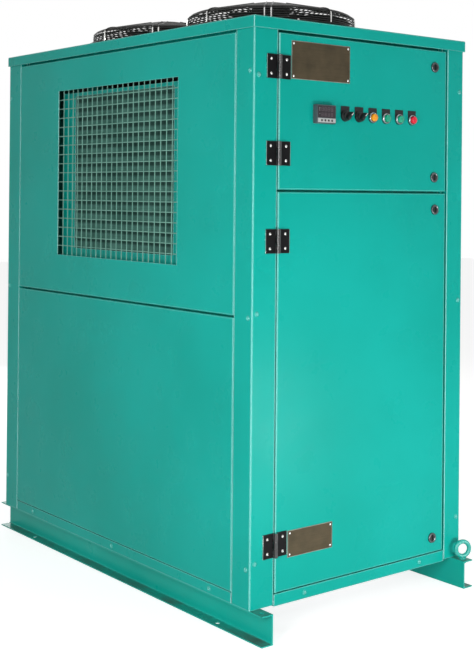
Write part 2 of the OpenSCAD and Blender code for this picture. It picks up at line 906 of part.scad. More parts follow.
module side_rail_screws() {
    for (s = side_rail_screw_shares) translate([left_x, side_y + s * side_len, foot_z + rail_h / 2])
        rotate([0, 0, -90]) domed_screw(screw_head_r, screw_head_h, screw_shank_r, screw_len);
}

module frame_screws() {
    front_h = rail_h + rail_drop - seam / 5;
    color([0.13, 0.64, 0.58]) {
        post_screws();
        mirrored_x() post_screws();
        mirrored_y() {
            post_screws();
            mirrored_x() post_screws();
            rail_screws(rear_x, rear_w, foot_z + rail_h / 2, front_rail_screw_shares);
        }
        rail_screws(left_x + post_w + panel_gap, body_w - post_w - latch_post_w - 2 * panel_gap,
            foot_z - rail_drop + front_h / 2, front_rail_screw_shares);
        side_rail_screws();
        mirrored_x() side_rail_screws();
    }
}

// Bare name plates with their corner screws

module name_plate(x, z, w, h) {
    translate([x, front_y - plate_t, z]) {
        cube([w, plate_t, h]);
        for (sx = [plate_screw_inset, w - plate_screw_inset],
            sz = [plate_screw_inset, h - plate_screw_inset])
            translate([sx, 0, sz]) domed_screw(plate_screw_r, plate_screw_h, plate_screw_r / 2, plate_t);
    }
}

module name_plate_upper() {
    color([0.36, 0.32, 0.27]) name_plate(door_x + plate_upper_x,
        cover_top_z - plate_upper_top - plate_upper_h, plate_upper_w, plate_upper_h);
}

module name_plate_lower() {
    color([0.36, 0.32, 0.27]) name_plate(door_x + plate_lower_x, cover_low_z + plate_lower_low,
        plate_lower_w, plate_lower_h);
}

// Quarter-turn locks

// Ring and barrel fixed in the door, with a nut behind the sheet
module lock_ring(place) {
    translate([place[0], front_y, place[1]]) difference() {
        union() {
            translate([0, -lock_ring_h, 0]) rod_y(lock_ring_d / 2, lock_ring_h);
            translate([0, -over, 0]) rod_y(lock_barrel_r, cover_d + over);
            translate([0, sheet_t, 0]) rod_y(lock_ring_d / 2, lock_ring_h);
        }
        translate([0, -lock_ring_h - over, 0]) rod_y(lock_core_r + run_gap, cover_d + lock_ring_h + 2 * over);
    }
}

// Turning core with a key slot in front and the cam behind, pointing along dir times Z
module lock_core(place, dir) {
    color([0.15, 0.15, 0.15])
    translate([place[0], front_y, place[1]]) {
        difference() {
            translate([0, -lock_ring_h + over, 0])
                rod_y(lock_core_r, jamb_d + cam_clear + cam_t + lock_ring_h - over);
            translate([-lock_slot_w / 2, -lock_ring_h, -lock_core_r])
                cube([lock_slot_w, lock_slot_d + over, 2 * lock_core_r]);
        }
        translate([0, jamb_d + cam_clear, 0]) {
            rod_y(cam_w / 2, cam_t);
            translate([-cam_w / 2, 0, dir < 0 ? -cam_len : 0]) cube([cam_w, cam_t, cam_len]);
        }
    }
}

module lock_rings_control() {
    color([0.85, 0.85, 0.85]) for (i = [0, 1]) lock_ring(lock_places[i]);
}
module lock_rings_service() {
    color([0.85, 0.85, 0.85]) for (i = [2, 3]) lock_ring(lock_places[i]);
}
module lock_core_1() { lock_core(lock_places[0], 1); }
module lock_core_2() { lock_core(lock_places[1], -1); }
module lock_core_3() { lock_core(lock_places[2], 1); }
module lock_core_4() { lock_core(lock_places[3], -1); }

// Controls

// Face with bevelled edges, body through the cut-out and a clamp frame behind the sheet
module temperature_controller() {
    wide = controller_w / 2;
    high = controller_side / 2;
    lip = controller_bevel / 4;
    case_w = controller_w - controller_body_less;
    case_h = controller_side - controller_body_less;
    color([0.25, 0.29, 0.3])
    translate([controller_x, front_y, switch_z]) {
        translate([-wide, -controller_proud + controller_bevel / 2, -high])
            cube([controller_w, controller_proud - controller_bevel / 2, controller_side]);
        translate([lip - wide, -controller_proud, lip - high])
            cube([controller_w - 2 * lip, controller_proud, controller_side - 2 * lip]);
        translate([-case_w / 2, -over, -case_h / 2]) cube([case_w, controller_len + over, case_h]);
        translate([-wide, sheet_t, -high]) cube([controller_w, controller_clamp, controller_side]);
    }
}

// Bare plates, square above and round below, one behind each bezel
module legend_plates() {
    color([0.08, 0.08, 0.08]) for (x = switch_xs) translate([x, front_y, switch_z]) difference() {
        union() {
            translate([-legend_w / 2, -legend_t, 0]) cube([legend_w, legend_t, legend_h - legend_w / 2]);
            translate([0, -legend_t, 0]) rod_y(legend_w / 2, legend_t);
        }
        translate([0, -legend_t - over, 0]) rod_y(barrel_r + cap_hole_gap / 2, legend_t + 2 * over);
    }
}

// Bezel, threaded barrel, nut and contact block of one switch
module bezel(x) {
    face = legend_t + bezel_h;
    translate([x, front_y, switch_z]) {
        difference() {
            union() {
                translate([0, -face, 0]) rod_y(bezel_d / 2, bezel_h);
                translate([0, -face, 0]) rod_y(barrel_r, face + barrel_len);
                translate([0, sheet_t, 0]) rod_y(bezel_d / 2, controller_clamp);
            }
            translate([0, -face - over, 0]) rod_y(button_r + run_gap, face + barrel_len + 2 * over);
        }
        translate([-block_side / 2, barrel_len, -block_side / 2]) cube([block_side, block_len, block_side]);
    }
}

module control_bezels() { color([0.8, 0.8, 0.8]) for (x = switch_xs) bezel(x); }

// Push button: a plunger in the barrel with a slightly domed front
module push_button(i) {
    face = legend_t + bezel_h;
    back = barrel_len - button_travel - rest_gap;
    dome_r = bezel_d;
    translate([switch_xs[i], front_y, switch_z]) intersection() {
        translate([0, -face - button_proud, 0]) rod_y(button_r, face + button_proud + back);
        translate([0, dome_r - face - button_proud, 0]) union() {
            sphere(dome_r);
            rod_y(button_r, 2 * barrel_len);
        }
    }
}

// Selector knob: a round base in front of the bezel with a grip across it
module selector_knob(i) {
    face = legend_t + bezel_h;
    back = barrel_len - button_travel - rest_gap;
    color([0.08, 0.08, 0.08])
    translate([switch_xs[i], front_y, switch_z]) rotate([0, selector_turn, 0]) {
        translate([0, -face - rest_gap - knob_h, 0]) rod_y(knob_r, knob_h);
        translate([0, -face - rest_gap - over, 0]) rod_y(button_r, face + back + rest_gap + over);
        intersection() {
            translate([0, -face - rest_gap - knob_h - grip_h, 0]) rod_y(knob_r, grip_h + over);
            translate([-grip_w / 2, -face - rest_gap - knob_h - grip_h, -knob_r])
                cube([grip_w, grip_h + over, 2 * knob_r]);
        }
    }
}

module selector_knob_1() { selector_knob(0); }
module selector_knob_2() { selector_knob(1); }
module button_amber() { color([0.95, 0.6, 0.1]) push_button(2); }
module button_green_1() { color([0.05, 0.65, 0.5]) push_button(3); }
module button_green_2() { color([0.05, 0.65, 0.5]) push_button(4); }
module button_red() { color([0.9, 0.1, 0.2]) push_button(5); }

// Control compartment

box_x = left_x + post_w;
box_w = body_w - post_w - latch_post_w;
box_z = door_split_z + mid_lip;
box_h = cover_top_z - box_z;
plate_y = front_y + jamb_d + box_d - box_t - mounting_t;

// Open box behind the control door
module electrical_box() {
    color([0.85, 0.85, 0.82]) translate([box_x, front_y + jamb_d, box_z]) difference() {
        cube([box_w, box_d, box_h]);
        translate([box_t, -over, box_t]) cube([box_w - 2 * box_t, box_d - box_t + over, box_h - 2 * box_t]);
    }
}

// Row of equal devices on a rail, from x, with their fronts at depth d
module device_row(x, z, count, w, h, d) {
    translate([x - w, plate_y - din_t, z - din_w / 2]) cube([(count + 2) * w, din_t, din_w]);
    for (i = [0 : count - 1]) translate([x + i * w, plate_y - d, z - h / 2])
        cube([w - rest_gap, d - din_t, h]);
}

// Mounting plate with its ducts, breakers, contactors and terminals
module switchgear() {
    x = box_x + plate_margin;
    w = box_w - 2 * plate_margin;
    z = box_z + plate_margin;
    h = box_h - 2 * plate_margin;
    inner_x = x + duct_w + breaker_w;
    color([0.6, 0.6, 0.6]) {
        translate([x, plate_y, z]) cube([w, mounting_t, h]);
        for (dx = [0, w - duct_w]) translate([x + dx, plate_y - duct_d, z]) cube([duct_w, duct_d, h]);
        translate([x + duct_w, plate_y - duct_d, z + h / 2 - duct_w / 2])
            cube([w - 2 * duct_w, duct_d, duct_w]);
        device_row(inner_x, z + device_share * h, breaker_count, breaker_w, breaker_h, breaker_d);
        device_row(inner_x + (breaker_count + 4) * breaker_w, z + device_share * h, contactor_count - 1,
            contactor_w, contactor_h, contactor_d);
        device_row(inner_x, z + terminal_share * h, terminal_count, terminal_w, terminal_h, terminal_d);
    }
}

// Fans

guard_r = shroud_r - wire_d / 2;
guard_z = shroud_top_z;
shoulder_r = guard_shoulder_share * shroud_r;
wall_h = guard_wall_share * guard_h;
dome_h = guard_dome_share * guard_h;
// Point on the guard's shoulder, an upright quarter ellipse
function shoulder(a) = [
    shoulder_r + (guard_r - shoulder_r) * cos(a),
    wall_h + (dome_h - wall_h) * sin(a)
];
// Height of the flat top at radius r
function guard_top(r) =
    dome_h + (guard_h - wire_d - dome_h) * (shoulder_r - r) / (shoulder_r - hub_plate_r);

module guard_ring(r, z, w) {
    translate([0, 0, z - wire_d / 2]) difference() {
        cylinder(r = r + w / 2, h = wire_d, $fn = 96);
        translate([0, 0, -over]) cylinder(r = r - w / 2, h = wire_d + 2 * over, $fn = 96);
    }
}

// One rib from the shroud over the shoulder to the hub plate
module guard_rib() {
    outer = [for (a = [0 : 15 : 90]) shoulder(a)];
    inner = [for (a = [90 : -15 : 0]) shoulder(a) - wire_d * [cos(a), sin(a)]];
    rotate([90, 0, 0]) translate([0, 0, -wire_d / 2]) linear_extrude(wire_d) polygon(concat(
        [[guard_r, 0]], outer, [[hub_plate_r, guard_top(hub_plate_r)]],
        [[hub_plate_r - wire_d, guard_top(hub_plate_r) - wire_d]], inner, [[guard_r - wire_d, 0]]));
}

module fan_guard() {
    guard_ring(guard_r, wire_d / 2, guard_base_w);
    for (s = wall_ring_shares) guard_ring(guard_r - wire_d / 2, s * guard_h, wire_d);
    for (a = shoulder_angles) guard_ring(shoulder(a)[0] - wire_d / 2, shoulder(a)[1] - wire_d / 2, wire_d);
    for (i = [0 : top_ring_count - 1]) {
        r = shoulder_r - i * (shoulder_r - hub_plate_r) / top_ring_count;
        guard_ring(r, guard_top(r) - wire_d / 2, wire_d);
    }
    for (a = [0 : 90 : 270]) rotate([0, 0, a]) guard_rib();
    for (a = [45 : 90 : 315], s = [-1, 1])
        rotate([0, 0, a]) translate([0, s * twin_rib_gap / 2, 0]) guard_rib();
    translate([0, 0, guard_h - wire_d - hub_plate_t]) difference() {
        cylinder(r = hub_plate_r + wire_d / 4, h = hub_plate_t);
        translate([0, 0, -over]) cylinder(r = hub_hole_r, h = hub_plate_t + 2 * over);
    }
}

module fan_guards() {
    color([0.1, 0.1, 0.1]) for (i = [0, 1])
        translate([fan_x, fan_ys[i], guard_z]) rotate([0, 0, guard_turns[i]]) fan_guard();
}

// Shroud ring with a flange on the roof and one under the guard
module fan_shrouds() {
    color([0.12, 0.12, 0.12]) for (y = fan_ys) translate([fan_x, y, 0]) rotate_extrude($fn = 96) {
        translate([shroud_r - shroud_t, top_z - shroud_drop]) square([shroud_t, shroud_h + shroud_drop]);
        translate([shroud_r - shroud_t, top_z]) square([roof_flange + shroud_t, shroud_flange_t]);
        translate([shroud_r - shroud_t, shroud_top_z - shroud_flange_t])
            square([shroud_flange + shroud_t, shroud_flange_t]);
    }
}

// Stator hung through the guard's hub plate, with the shaft that the rotor turns on
plate_low_z = guard_z + guard_h - wire_d - hub_plate_t;
shaft_low_z = plate_low_z - stator_h - rotor_hub_h + stator_cap_h;
module fan_motors() {
    color([0.09, 0.09, 0.09]) for (y = fan_ys) translate([fan_x, y, 0]) rotate_extrude() {
        translate([0, shaft_low_z]) square([motor_shaft_r, plate_low_z - shaft_low_z]);
        translate([0, plate_low_z - stator_h]) square([stator_r, stator_h]);
        translate([0, plate_low_z - over]) square([hub_hole_r - stator_gap, hub_plate_t + over]);
        translate([0, plate_low_z + hub_plate_t]) square([stator_r, stator_cap_h]);
    }
}

module fan_rotor(y) {
    hub_top = plate_low_z - stator_h - rest_gap;
    blade_r = shroud_r - shroud_t - blade_tip_gap;
    translate([fan_x, y, 0]) color([0.13, 0.13, 0.13]) difference() {
        union() {
            translate([0, 0, hub_top - rotor_hub_h]) cylinder(r = rotor_hub_r, h = rotor_hub_h);
            intersection() {
                translate([0, 0, blade_z]) cylinder(r = blade_r, h = blade_h);
                for (i = [0 : blade_count - 1]) rotate([0, 0, i * 360 / blade_count])
                    translate([0, 0, blade_z + blade_h / 2]) rotate([blade_pitch, 0, 0])
                        translate([0, -blade_chord / 2, -blade_t / 2])
                            cube([blade_r + over, blade_chord, blade_t]);
            }
        }
        translate([0, 0, shaft_low_z - over])
            cylinder(r = motor_shaft_r + run_gap, h = rotor_hub_h + 2 * over);
    }
}
blade_z = shaft_low_z + stator_cap_h;

module fan_rotor_front() { fan_rotor(fan_ys[0]); }
module fan_rotor_rear() { fan_rotor(fan_ys[1]); }

// Condenser coils at both sides, standing on the deck

coil_x = left_x + jamb_d;
coil_pipe_x = right_x - jamb_d - casing_d / 2;
fin_y = coil_y + casing_front_margin;
fin_len = casing_len - casing_front_margin - casing_rear_margin;
fin_z = deck_z + casing_low_margin;
fin_h = casing_h - casing_low_margin - casing_top_margin;
gas_header_y = fin_y + fin_len + header_gap;
liquid_header_y = fin_y - header_gap;
casing_top_z = deck_z + casing_h;

// Sheet casing, open where the air passes the fins
module coil_casing() {
    difference() {
        translate([coil_x, coil_y, deck_z]) cube([casing_d, casing_len, casing_h]);
        translate([coil_x + casing_t, coil_y + casing_t, deck_z + casing_t])
            cube([casing_d - 2 * casing_t, casing_len - 2 * casing_t, casing_h - 2 * casing_t]);
        translate([coil_x - over, fin_y, fin_z]) cube([casing_d + 2 * over, fin_len, fin_h]);
        translate([-coil_pipe_x, gas_header_y, casing_top_z - casing_t - over])
            cylinder(r = gas_r + cap_hole_gap, h = casing_t + 2 * over);
        translate([-coil_pipe_x, liquid_header_y, deck_z - over])
            cylinder(r = liquid_r + cap_hole_gap, h = casing_t + 2 * over);
    }
}

module coil_casings() {
    color([0.12, 0.55, 0.5]) {
        coil_casing();
        mirrored_x() coil_casing();
    }
}

// Fin block with a header pipe at each end
module coil() {
    low = fin_z + header_r;
    high = fin_z + fin_h - header_r;
    translate([coil_x + casing_t, fin_y, fin_z]) cube([casing_d - 2 * casing_t, fin_len, fin_h]);
    translate([-coil_pipe_x, gas_header_y, low]) cylinder(r = header_r, h = high - low);
    translate([-coil_pipe_x, liquid_header_y, low]) cylinder(r = header_r, h = high - low);
    translate([-coil_pipe_x, gas_header_y, high - over]) cylinder(r = gas_r, h = casing_top_z - high + over);
    translate([-coil_pipe_x, liquid_header_y, deck_z]) cylinder(r = liquid_r, h = low - deck_z + over);
    for (i = [0 : feeder_count - 1]) {
        z = low + (i + 0.5) * (high - low) / feeder_count;
        translate([-coil_pipe_x, liquid_header_y, z]) rod_y(feeder_r, header_gap + over);
        translate([-coil_pipe_x, gas_header_y - header_gap - over, z]) rod_y(feeder_r, header_gap + over);
    }
}

module condenser_coils() {
    color([0.2, 0.28, 0.26]) {
        coil();
        mirrored_x() coil();
    }
}

// Machine room

comp_z = floor_z + mount_h;
comp_top_z = comp_z + comp_foot_t + comp_h;

module compressor() {
    color([0.1, 0.1, 0.11]) {
        translate([comp_x, comp_y, comp_z]) vessel(comp_r, comp_foot_t + comp_h, comp_dome);
        translate([comp_x - comp_foot / 2, comp_y - comp_foot / 2, comp_z])
            cube([comp_foot, comp_foot, comp_foot_t]);
        translate([comp_x - comp_r - comp_box[1], comp_y - comp_box[0] / 2, comp_z + comp_h / 2])
            cube([comp_box[1] + comp_dome, comp_box[0], comp_box[2]]);
    }
}

module compressor_mounts() {
    reach = comp_mount_share * comp_foot;
    color([0.06, 0.06, 0.06]) for (sx = [-1, 1], sy = [-1, 1])
        translate([comp_x + sx * reach, comp_y + sy * reach, floor_z]) cylinder(r = mount_r, h = mount_h);
}

evap_z = floor_z + evap_foot_h;
evap_low_z = evap_z + evap_port;
evap_high_z = evap_z + evap_h - evap_port;
evap_left_x = evap_x + evap_port;
outlet_z = evap_high_z;

module plate_evaporator() {
    color([0.7, 0.7, 0.7]) {
        translate([evap_x, evap_y, evap_z]) cube([evap_w, evap_d, evap_h]);
        translate([evap_x - port_collar, evap_y - port_collar, floor_z])
            cube([evap_w + 2 * port_collar, evap_d + 2 * port_collar, evap_foot_h]);
        for (z = [evap_low_z, evap_high_z]) {
            translate([evap_left_x, evap_y - evap_port_len, z]) rod_y(gas_r + port_collar, evap_port_len);
            translate([water_x, evap_y + evap_d, z]) rod_y(pipe_d / 2 + port_collar, evap_port_len);
        }
    }
}

// Hot gas, liquid and suction lines, with the filter drier in the liquid line
module refrigerant_pipes() {
    front = evap_y - evap_port_len;
    lane_y = front - 2 * gas_r;
    drier_x = (comp_x + evap_x) / 2 + drier_r;
    gas_z = casing_top_z + gas_rise;
    liquid_z = deck_z - deck_flange - 2 * liquid_r;
    drier_z = comp_z + comp_h / 2;
    color([0.72, 0.42, 0.26]) {
        // Suction line
        pipe_run([[evap_left_x, front, evap_high_z], [evap_left_x, lane_y, evap_high_z],
            [comp_x, lane_y, evap_high_z], [comp_x, lane_y, suction_z],
            [comp_x, comp_y - comp_r, suction_z]], gas_r);
        // Hot gas line to both coils
        pipe_run([[comp_x, comp_y, comp_top_z], [comp_x, comp_y, gas_z],
            [comp_x, gas_header_y, gas_z], [coil_pipe_x, gas_header_y, gas_z],
            [coil_pipe_x, gas_header_y, casing_top_z]], gas_r);
        pipe_run([[comp_x, gas_header_y, gas_z], [-coil_pipe_x, gas_header_y, gas_z],
            [-coil_pipe_x, gas_header_y, casing_top_z]], gas_r);
        // Liquid line from both coils through the drier
        pipe_run([[-coil_pipe_x, liquid_header_y, deck_z], [-coil_pipe_x, liquid_header_y, liquid_z],
            [coil_pipe_x, liquid_header_y, liquid_z], [coil_pipe_x, liquid_header_y, deck_z]], liquid_r);
        pipe_run([[drier_x, liquid_header_y, liquid_z], [drier_x, lane_y - 2 * drier_r, liquid_z],
            [drier_x, lane_y - 2 * drier_r, evap_low_z], [evap_left_x, lane_y - 2 * drier_r, evap_low_z],
            [evap_left_x, front, evap_low_z]], liquid_r);
        translate([drier_x, lane_y - 2 * drier_r, drier_z]) cylinder(r = drier_r, h = drier_len);
    }
}

tank_z = floor_z + mount_h;
tank_port_z = tank_z + tank_dome + pipe_d;

// Upright vessel with rounded ends: radius r, height h, end radius dome
module vessel(r, h, dome) {
    rotate_extrude($fn = 96) {
        square([r - dome, h]);
        translate([0, dome]) square([r, h - 2 * dome]);
        for (z = [dome, h - dome]) translate([r - dome, z]) circle(dome);
    }
}

// Hollow tank on four legs, with a boss for each water line
module water_tank() {
    color([0.72, 0.73, 0.74]) translate([tank_x, tank_y, tank_z]) difference() {
        union() {
            vessel(tank_d / 2, tank_h, tank_dome);
            for (z = [tank_port_z, inlet_z]) translate([0, 0, z - tank_z])
                rod_x(pipe_d / 2 + port_collar, tank_d / 2 + tank_boss);
            for (a = [45 : 90 : 315]) rotate([0, 0, a])
                translate([tank_d / 2 - 2 * tank_leg_r, 0, -mount_h])
                cylinder(r = tank_leg_r, h = mount_h + tank_dome);
        }
        translate([0, 0, tank_wall])
            vessel(tank_d / 2 - tank_wall, tank_h - 2 * tank_wall, tank_dome - tank_wall);
        for (z = [tank_port_z, inlet_z]) translate([0, 0, z - tank_z])
            rod_x(pipe_d / 2 - tank_wall, tank_d / 2 + tank_boss + over);
    }
}

// Close-coupled pump: head towards the rear, motor towards the doors
module water_pump() {
    motor_y = pump_y - pump_motor_len;
    color([0.15, 0.3, 0.5]) {
        translate([water_x, pump_y, pump_z]) rod_y(pump_head_r, pump_head_len);
        translate([water_x, motor_y, pump_z]) rod_y(pump_motor_r, pump_motor_len + over);
        translate([water_x, pump_y + pump_head_len / 2, pump_z])
            cylinder(r = pipe_d / 2 + port_collar, h = pump_head_r + port_collar);
        translate([water_x - pump_motor_r / 2, motor_y + pump_motor_r / 2, floor_z])
            cube([pump_motor_r, pump_motor_len - pump_motor_r, pump_z - floor_z]);
    }
}

// Socket through the rear panel with a tapped bore
module socket(z) {
    translate([water_x, rear_y - socket_in, z]) difference() {
        rod_y(socket_r, socket_in + socket_out);
        translate([0, port_collar, 0]) rod_y(socket_bore_d / 2, socket_in + socket_out);
    }
}

// Water lines: inlet to tank, tank to pump, pump to evaporator, evaporator to outlet
module water_pipes() {
    r = pipe_d / 2;
    tank_side = tank_x + tank_d / 2 + tank_boss;
    head_y = pump_y + pump_head_len / 2;
    rise_z = pump_z + pump_head_r + port_collar;
    evap_back = evap_y + evap_d + evap_port_len;
    color([0.55, 0.57, 0.58]) {
        pipe_run([[water_x, rear_y - socket_in, inlet_z], [water_x, tank_y, inlet_z],
            [tank_side, tank_y, inlet_z]], r);
        pipe_run([[tank_side, tank_y, tank_port_z], [water_x, tank_y, tank_port_z],
            [water_x, pump_y + pump_head_len, tank_port_z]], r);
        pipe_run([[water_x, head_y, rise_z], [water_x, head_y, rise_z + pipe_d],
            [water_x, evap_back + pipe_d, rise_z + pipe_d], [water_x, evap_back + pipe_d, evap_low_z],
            [water_x, evap_back, evap_low_z]], r);
        pipe_run([[water_x, evap_back, outlet_z], [water_x, rear_y - socket_in, outlet_z]], r);
        socket(inlet_z);
        socket(outlet_z);
        translate([-water_x, rear_y - sheet_t - gland_nut_t, gland_z]) difference() {
            union() {
                rod_y(gland_r, gland_nut_t);
                rod_y(gland_neck_r, gland_nut_t + sheet_t + over);
                translate([0, gland_nut_t + sheet_t, 0]) rod_y(gland_r, gland_out);
            }
            translate([0, -over, 0]) rod_y(gland_bore_r, gland_out + gland_nut_t + sheet_t + 2 * over);
        }
    }
}

base_channel_left();
base_channel_right();
lifting_eyebolt();
corner_posts();
frame_rails();
floor_pan();
mid_deck();
roof_cap();
side_panel_left_upper();
side_panel_left_lower();
side_panel_right_upper();
side_panel_right_lower();
rear_panel_upper();
rear_panel_lower();
mesh_left();
mesh_right();
control_door();
service_door();
door_seals();
hinge_frame_leaves();
hinge_pins();
hinge_leaves_control();
hinge_leaves_service();
frame_screws();
hinge_screws_frame();
hinge_screws_control();
hinge_screws_service();
name_plate_upper();
name_plate_lower();
lock_rings_control();
lock_rings_service();
lock_core_1();
lock_core_2();
lock_core_3();
lock_core_4();
temperature_controller();
legend_plates();
control_bezels();
selector_knob_1();
selector_knob_2();
button_amber();
button_green_1();
button_green_2();
button_red();
electrical_box();
switchgear();
fan_shrouds();
fan_guards();
fan_motors();
fan_rotor_front();
fan_rotor_rear();
coil_casings();
condenser_coils();
compressor();
compressor_mounts();
plate_evaporator();
refrigerant_pipes();
water_tank();
water_pump();
water_pipes();
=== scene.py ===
"""Looks of an air-cooled water chiller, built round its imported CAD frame.

Metres, +Z up, doors towards -Y. Shape functions work in millimetres and piece() scales them.
"""

import math

import bmesh
import bpy
import numpy as np
from mathutils import Matrix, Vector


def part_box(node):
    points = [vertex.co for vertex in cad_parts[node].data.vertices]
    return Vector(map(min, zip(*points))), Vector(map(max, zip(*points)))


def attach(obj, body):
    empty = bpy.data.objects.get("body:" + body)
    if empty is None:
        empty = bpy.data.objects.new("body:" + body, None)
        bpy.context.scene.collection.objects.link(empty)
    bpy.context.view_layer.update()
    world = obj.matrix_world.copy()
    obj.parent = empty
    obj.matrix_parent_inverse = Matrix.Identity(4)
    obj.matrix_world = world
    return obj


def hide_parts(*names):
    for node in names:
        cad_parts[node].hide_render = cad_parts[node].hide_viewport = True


MM = 0.001
TURN = 2 * math.pi

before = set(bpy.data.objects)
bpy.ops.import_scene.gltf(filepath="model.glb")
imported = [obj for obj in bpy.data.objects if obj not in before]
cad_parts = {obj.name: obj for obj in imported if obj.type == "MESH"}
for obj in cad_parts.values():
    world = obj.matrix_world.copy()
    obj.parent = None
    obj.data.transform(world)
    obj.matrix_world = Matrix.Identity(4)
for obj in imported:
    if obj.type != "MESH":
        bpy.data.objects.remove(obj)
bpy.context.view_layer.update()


# Shapes


def grid_faces(rows, columns, wrap_rows=False, wrap_columns=False):
    """Quads between neighbouring points of a grid stored row by row."""
    r, c = np.meshgrid(
        np.arange(rows if wrap_rows else rows - 1),
        np.arange(columns if wrap_columns else columns - 1),
        indexing="ij",
    )
    r2, c2 = (r + 1) % rows, (c + 1) % columns
    quads = [r * columns + c, r2 * columns + c, r2 * columns + c2, r * columns + c2]
    return np.stack(quads, -1).reshape(-1, 4)


AXIS_ORDER = {"z": (0, 1, 2), "y": (0, 2, 1), "x": (2, 0, 1)}


def turned(profile, centre=(0, 0, 0), axis="z", steps=32, ring=False, finish=0):
    """Surface of revolution: (radius, height) pairs, point = (r cos t, r sin t, h) about the axis.

    Along "y" heights grow towards -Y, out of the doors. ring=True closes the profile on itself."""
    r, h = np.array(profile, float).T
    t = np.arange(steps) * TURN / steps
    flat = [np.outer(r, np.cos(t)), np.outer(r, np.sin(t)), np.repeat(h[:, None], steps, 1)]
    points = np.stack([flat[i] for i in AXIS_ORDER[axis]], -1)
    if axis == "y":
        points[..., 1] *= -1
    faces = grid_faces(len(r), steps, ring, True)
    return points.reshape(-1, 3) + np.array(centre, float), faces, finish


OBLIQUE = np.array([0.37, 0.56, 0.74])


def tube(path, radius, sides=8, closed=False, finish=0):
    """Circle carried along a path: point = p + r (n cos t + b sin t), n and b square to the tangent."""
    p = np.array(path, float)
    if closed:
        tangent = np.roll(p, -1, 0) - np.roll(p, 1, 0)
    else:
        tangent = np.gradient(p, axis=0)
        ends = [p[:1], p, p[-1:]]
        p, tangent = np.vstack(ends), np.vstack([tangent[:1], tangent, tangent[-1:]])
    tangent /= np.linalg.norm(tangent, axis=1, keepdims=True)
    n = OBLIQUE - tangent * (tangent @ OBLIQUE)[:, None]
    n /= np.linalg.norm(n, axis=1, keepdims=True)
    b = np.cross(tangent, n)
    t = (np.arange(sides) + 0.5) * TURN / sides
    r = np.broadcast_to(np.array(radius, float), (len(path),))
    if not closed:
        r = np.concatenate([[0], r, [0]])
    around = n[:, None] * np.cos(t)[None, :, None] + b[:, None] * np.sin(t)[None, :, None]
    points = p[:, None] + r[:, None, None] * around
    return points.reshape(-1, 3), grid_faces(len(p), sides, closed, True), finish


def circle_path(centre, radius, steps=48):
    """Level circle: centre + radius (cos t, sin t, 0)."""
    t = np.arange(steps) * TURN / steps
    return np.stack([np.cos(t), np.sin(t), 0 * t], -1) * radius + np.array(centre, float)


def bent_path(corners, bend, steps=6):
    """Line through corner points, each corner rounded by a curve (1-s)^2 a + 2 s (1-s) c + s^2 b.

    a and b lie on the two legs, at the bend's reach or just under half of the shorter leg."""
    corners = np.array(corners, float)
    s = np.linspace(0, 1, steps)[:, None]
    runs = [corners[:1]]
    for before, corner, after in zip(corners, corners[1:], corners[2:]):
        back, on = before - corner, after - corner
        reach = min(bend, 0.48 * np.linalg.norm(back), 0.48 * np.linalg.norm(on))
        a, b = corner + back / np.linalg.norm(back) * reach, corner + on / np.linalg.norm(on) * reach
        runs.append((1 - s) ** 2 * a + 2 * s * (1 - s) * corner + s**2 * b)
    return np.vstack([*runs, corners[-1:]])


def rounded_box(low, high, edge, steps=2, finish=0):
    """Box with round edges: inner corner + edge (sin p cos t, sin p sin t, cos p), corner by its signs."""
    low, high = np.array(low, float), np.array(high, float)
    middle, half = (low + high) / 2, (high - low) / 2 - edge
    quarter = np.linspace(0, math.pi / 2, steps + 1)
    p = np.concatenate([quarter, quarter + math.pi / 2])
    sz = np.repeat([1, -1], steps + 1)
    t = np.concatenate([quarter + i * math.pi / 2 for i in range(4)])
    sx = np.repeat([1, -1, -1, 1], steps + 1)
    sy = np.repeat([1, 1, -1, -1], steps + 1)
    x = sx * half[0] + edge * np.outer(np.sin(p), np.cos(t))
    y = sy * half[1] + edge * np.outer(np.sin(p), np.sin(t))
    z = (sz * half[2] + edge * np.cos(p))[:, None] + 0 * x
    rows, columns = x.shape
    points = np.stack([x, y, z], -1).reshape(-1, 3) + middle
    top, foot = list(range(columns)), list(range((rows - 1) * columns, rows * columns))
    return points, [*grid_faces(rows, columns, False, True).tolist(), top[::-1], foot], finish


def prism(outline, low, high, axis="y", finish=0):
    """Outline of (u, v) points carried from low to high along an axis."""
    flat = np.array(outline, float)
    n = len(flat)
    ends = [np.column_stack([flat, np.full(n, h)]) for h in (low, high)]
    points = np.vstack(ends)[:, AXIS_ORDER[axis]]
    sides = grid_faces(2, n, False, True).tolist()
    return points, [*sides, list(range(n))[::-1], list(range(n, 2 * n))], finish


def repeated(part, moves):
    """The same part once for each (x, y, z) move."""
    points, faces, finish = part
    moves = np.array(moves, float).reshape(-1, 3)
    many = (points[None] + moves[:, None]).reshape(-1, 3)
    shifts = np.arange(len(moves)) * len(points)
    return many, [[i + s for i in f] for s in shifts for f in np.array(faces, object).tolist()], finish


def swung(part, degrees, centre=(0, 0, 0), axis="Z"):
    """The part turned about an axis through a point."""
    points, faces, finish = part
    turn = np.array(Matrix.Rotation(math.radians(degrees), 3, axis))
    c = np.array(centre, float)
    return (points - c) @ turn.T + c, faces, finish


SIDE_TURN = {"front": 0, "right": 90, "rear": 180, "left": -90}


def faced(part, side, place):
    """A part drawn standing on z = 0 laid out of one side of the cabinet, its foot at a place."""
    points, faces, finish = swung(swung(part, 90, axis="X"), SIDE_TURN[side])
    return points + np.array(place, float), faces, finish


def shifted(part, move, finish=None):
    """The part moved, with another finish if one is given."""
    return part[0] + np.array(move, float), part[1], part[2] if finish is None else finish


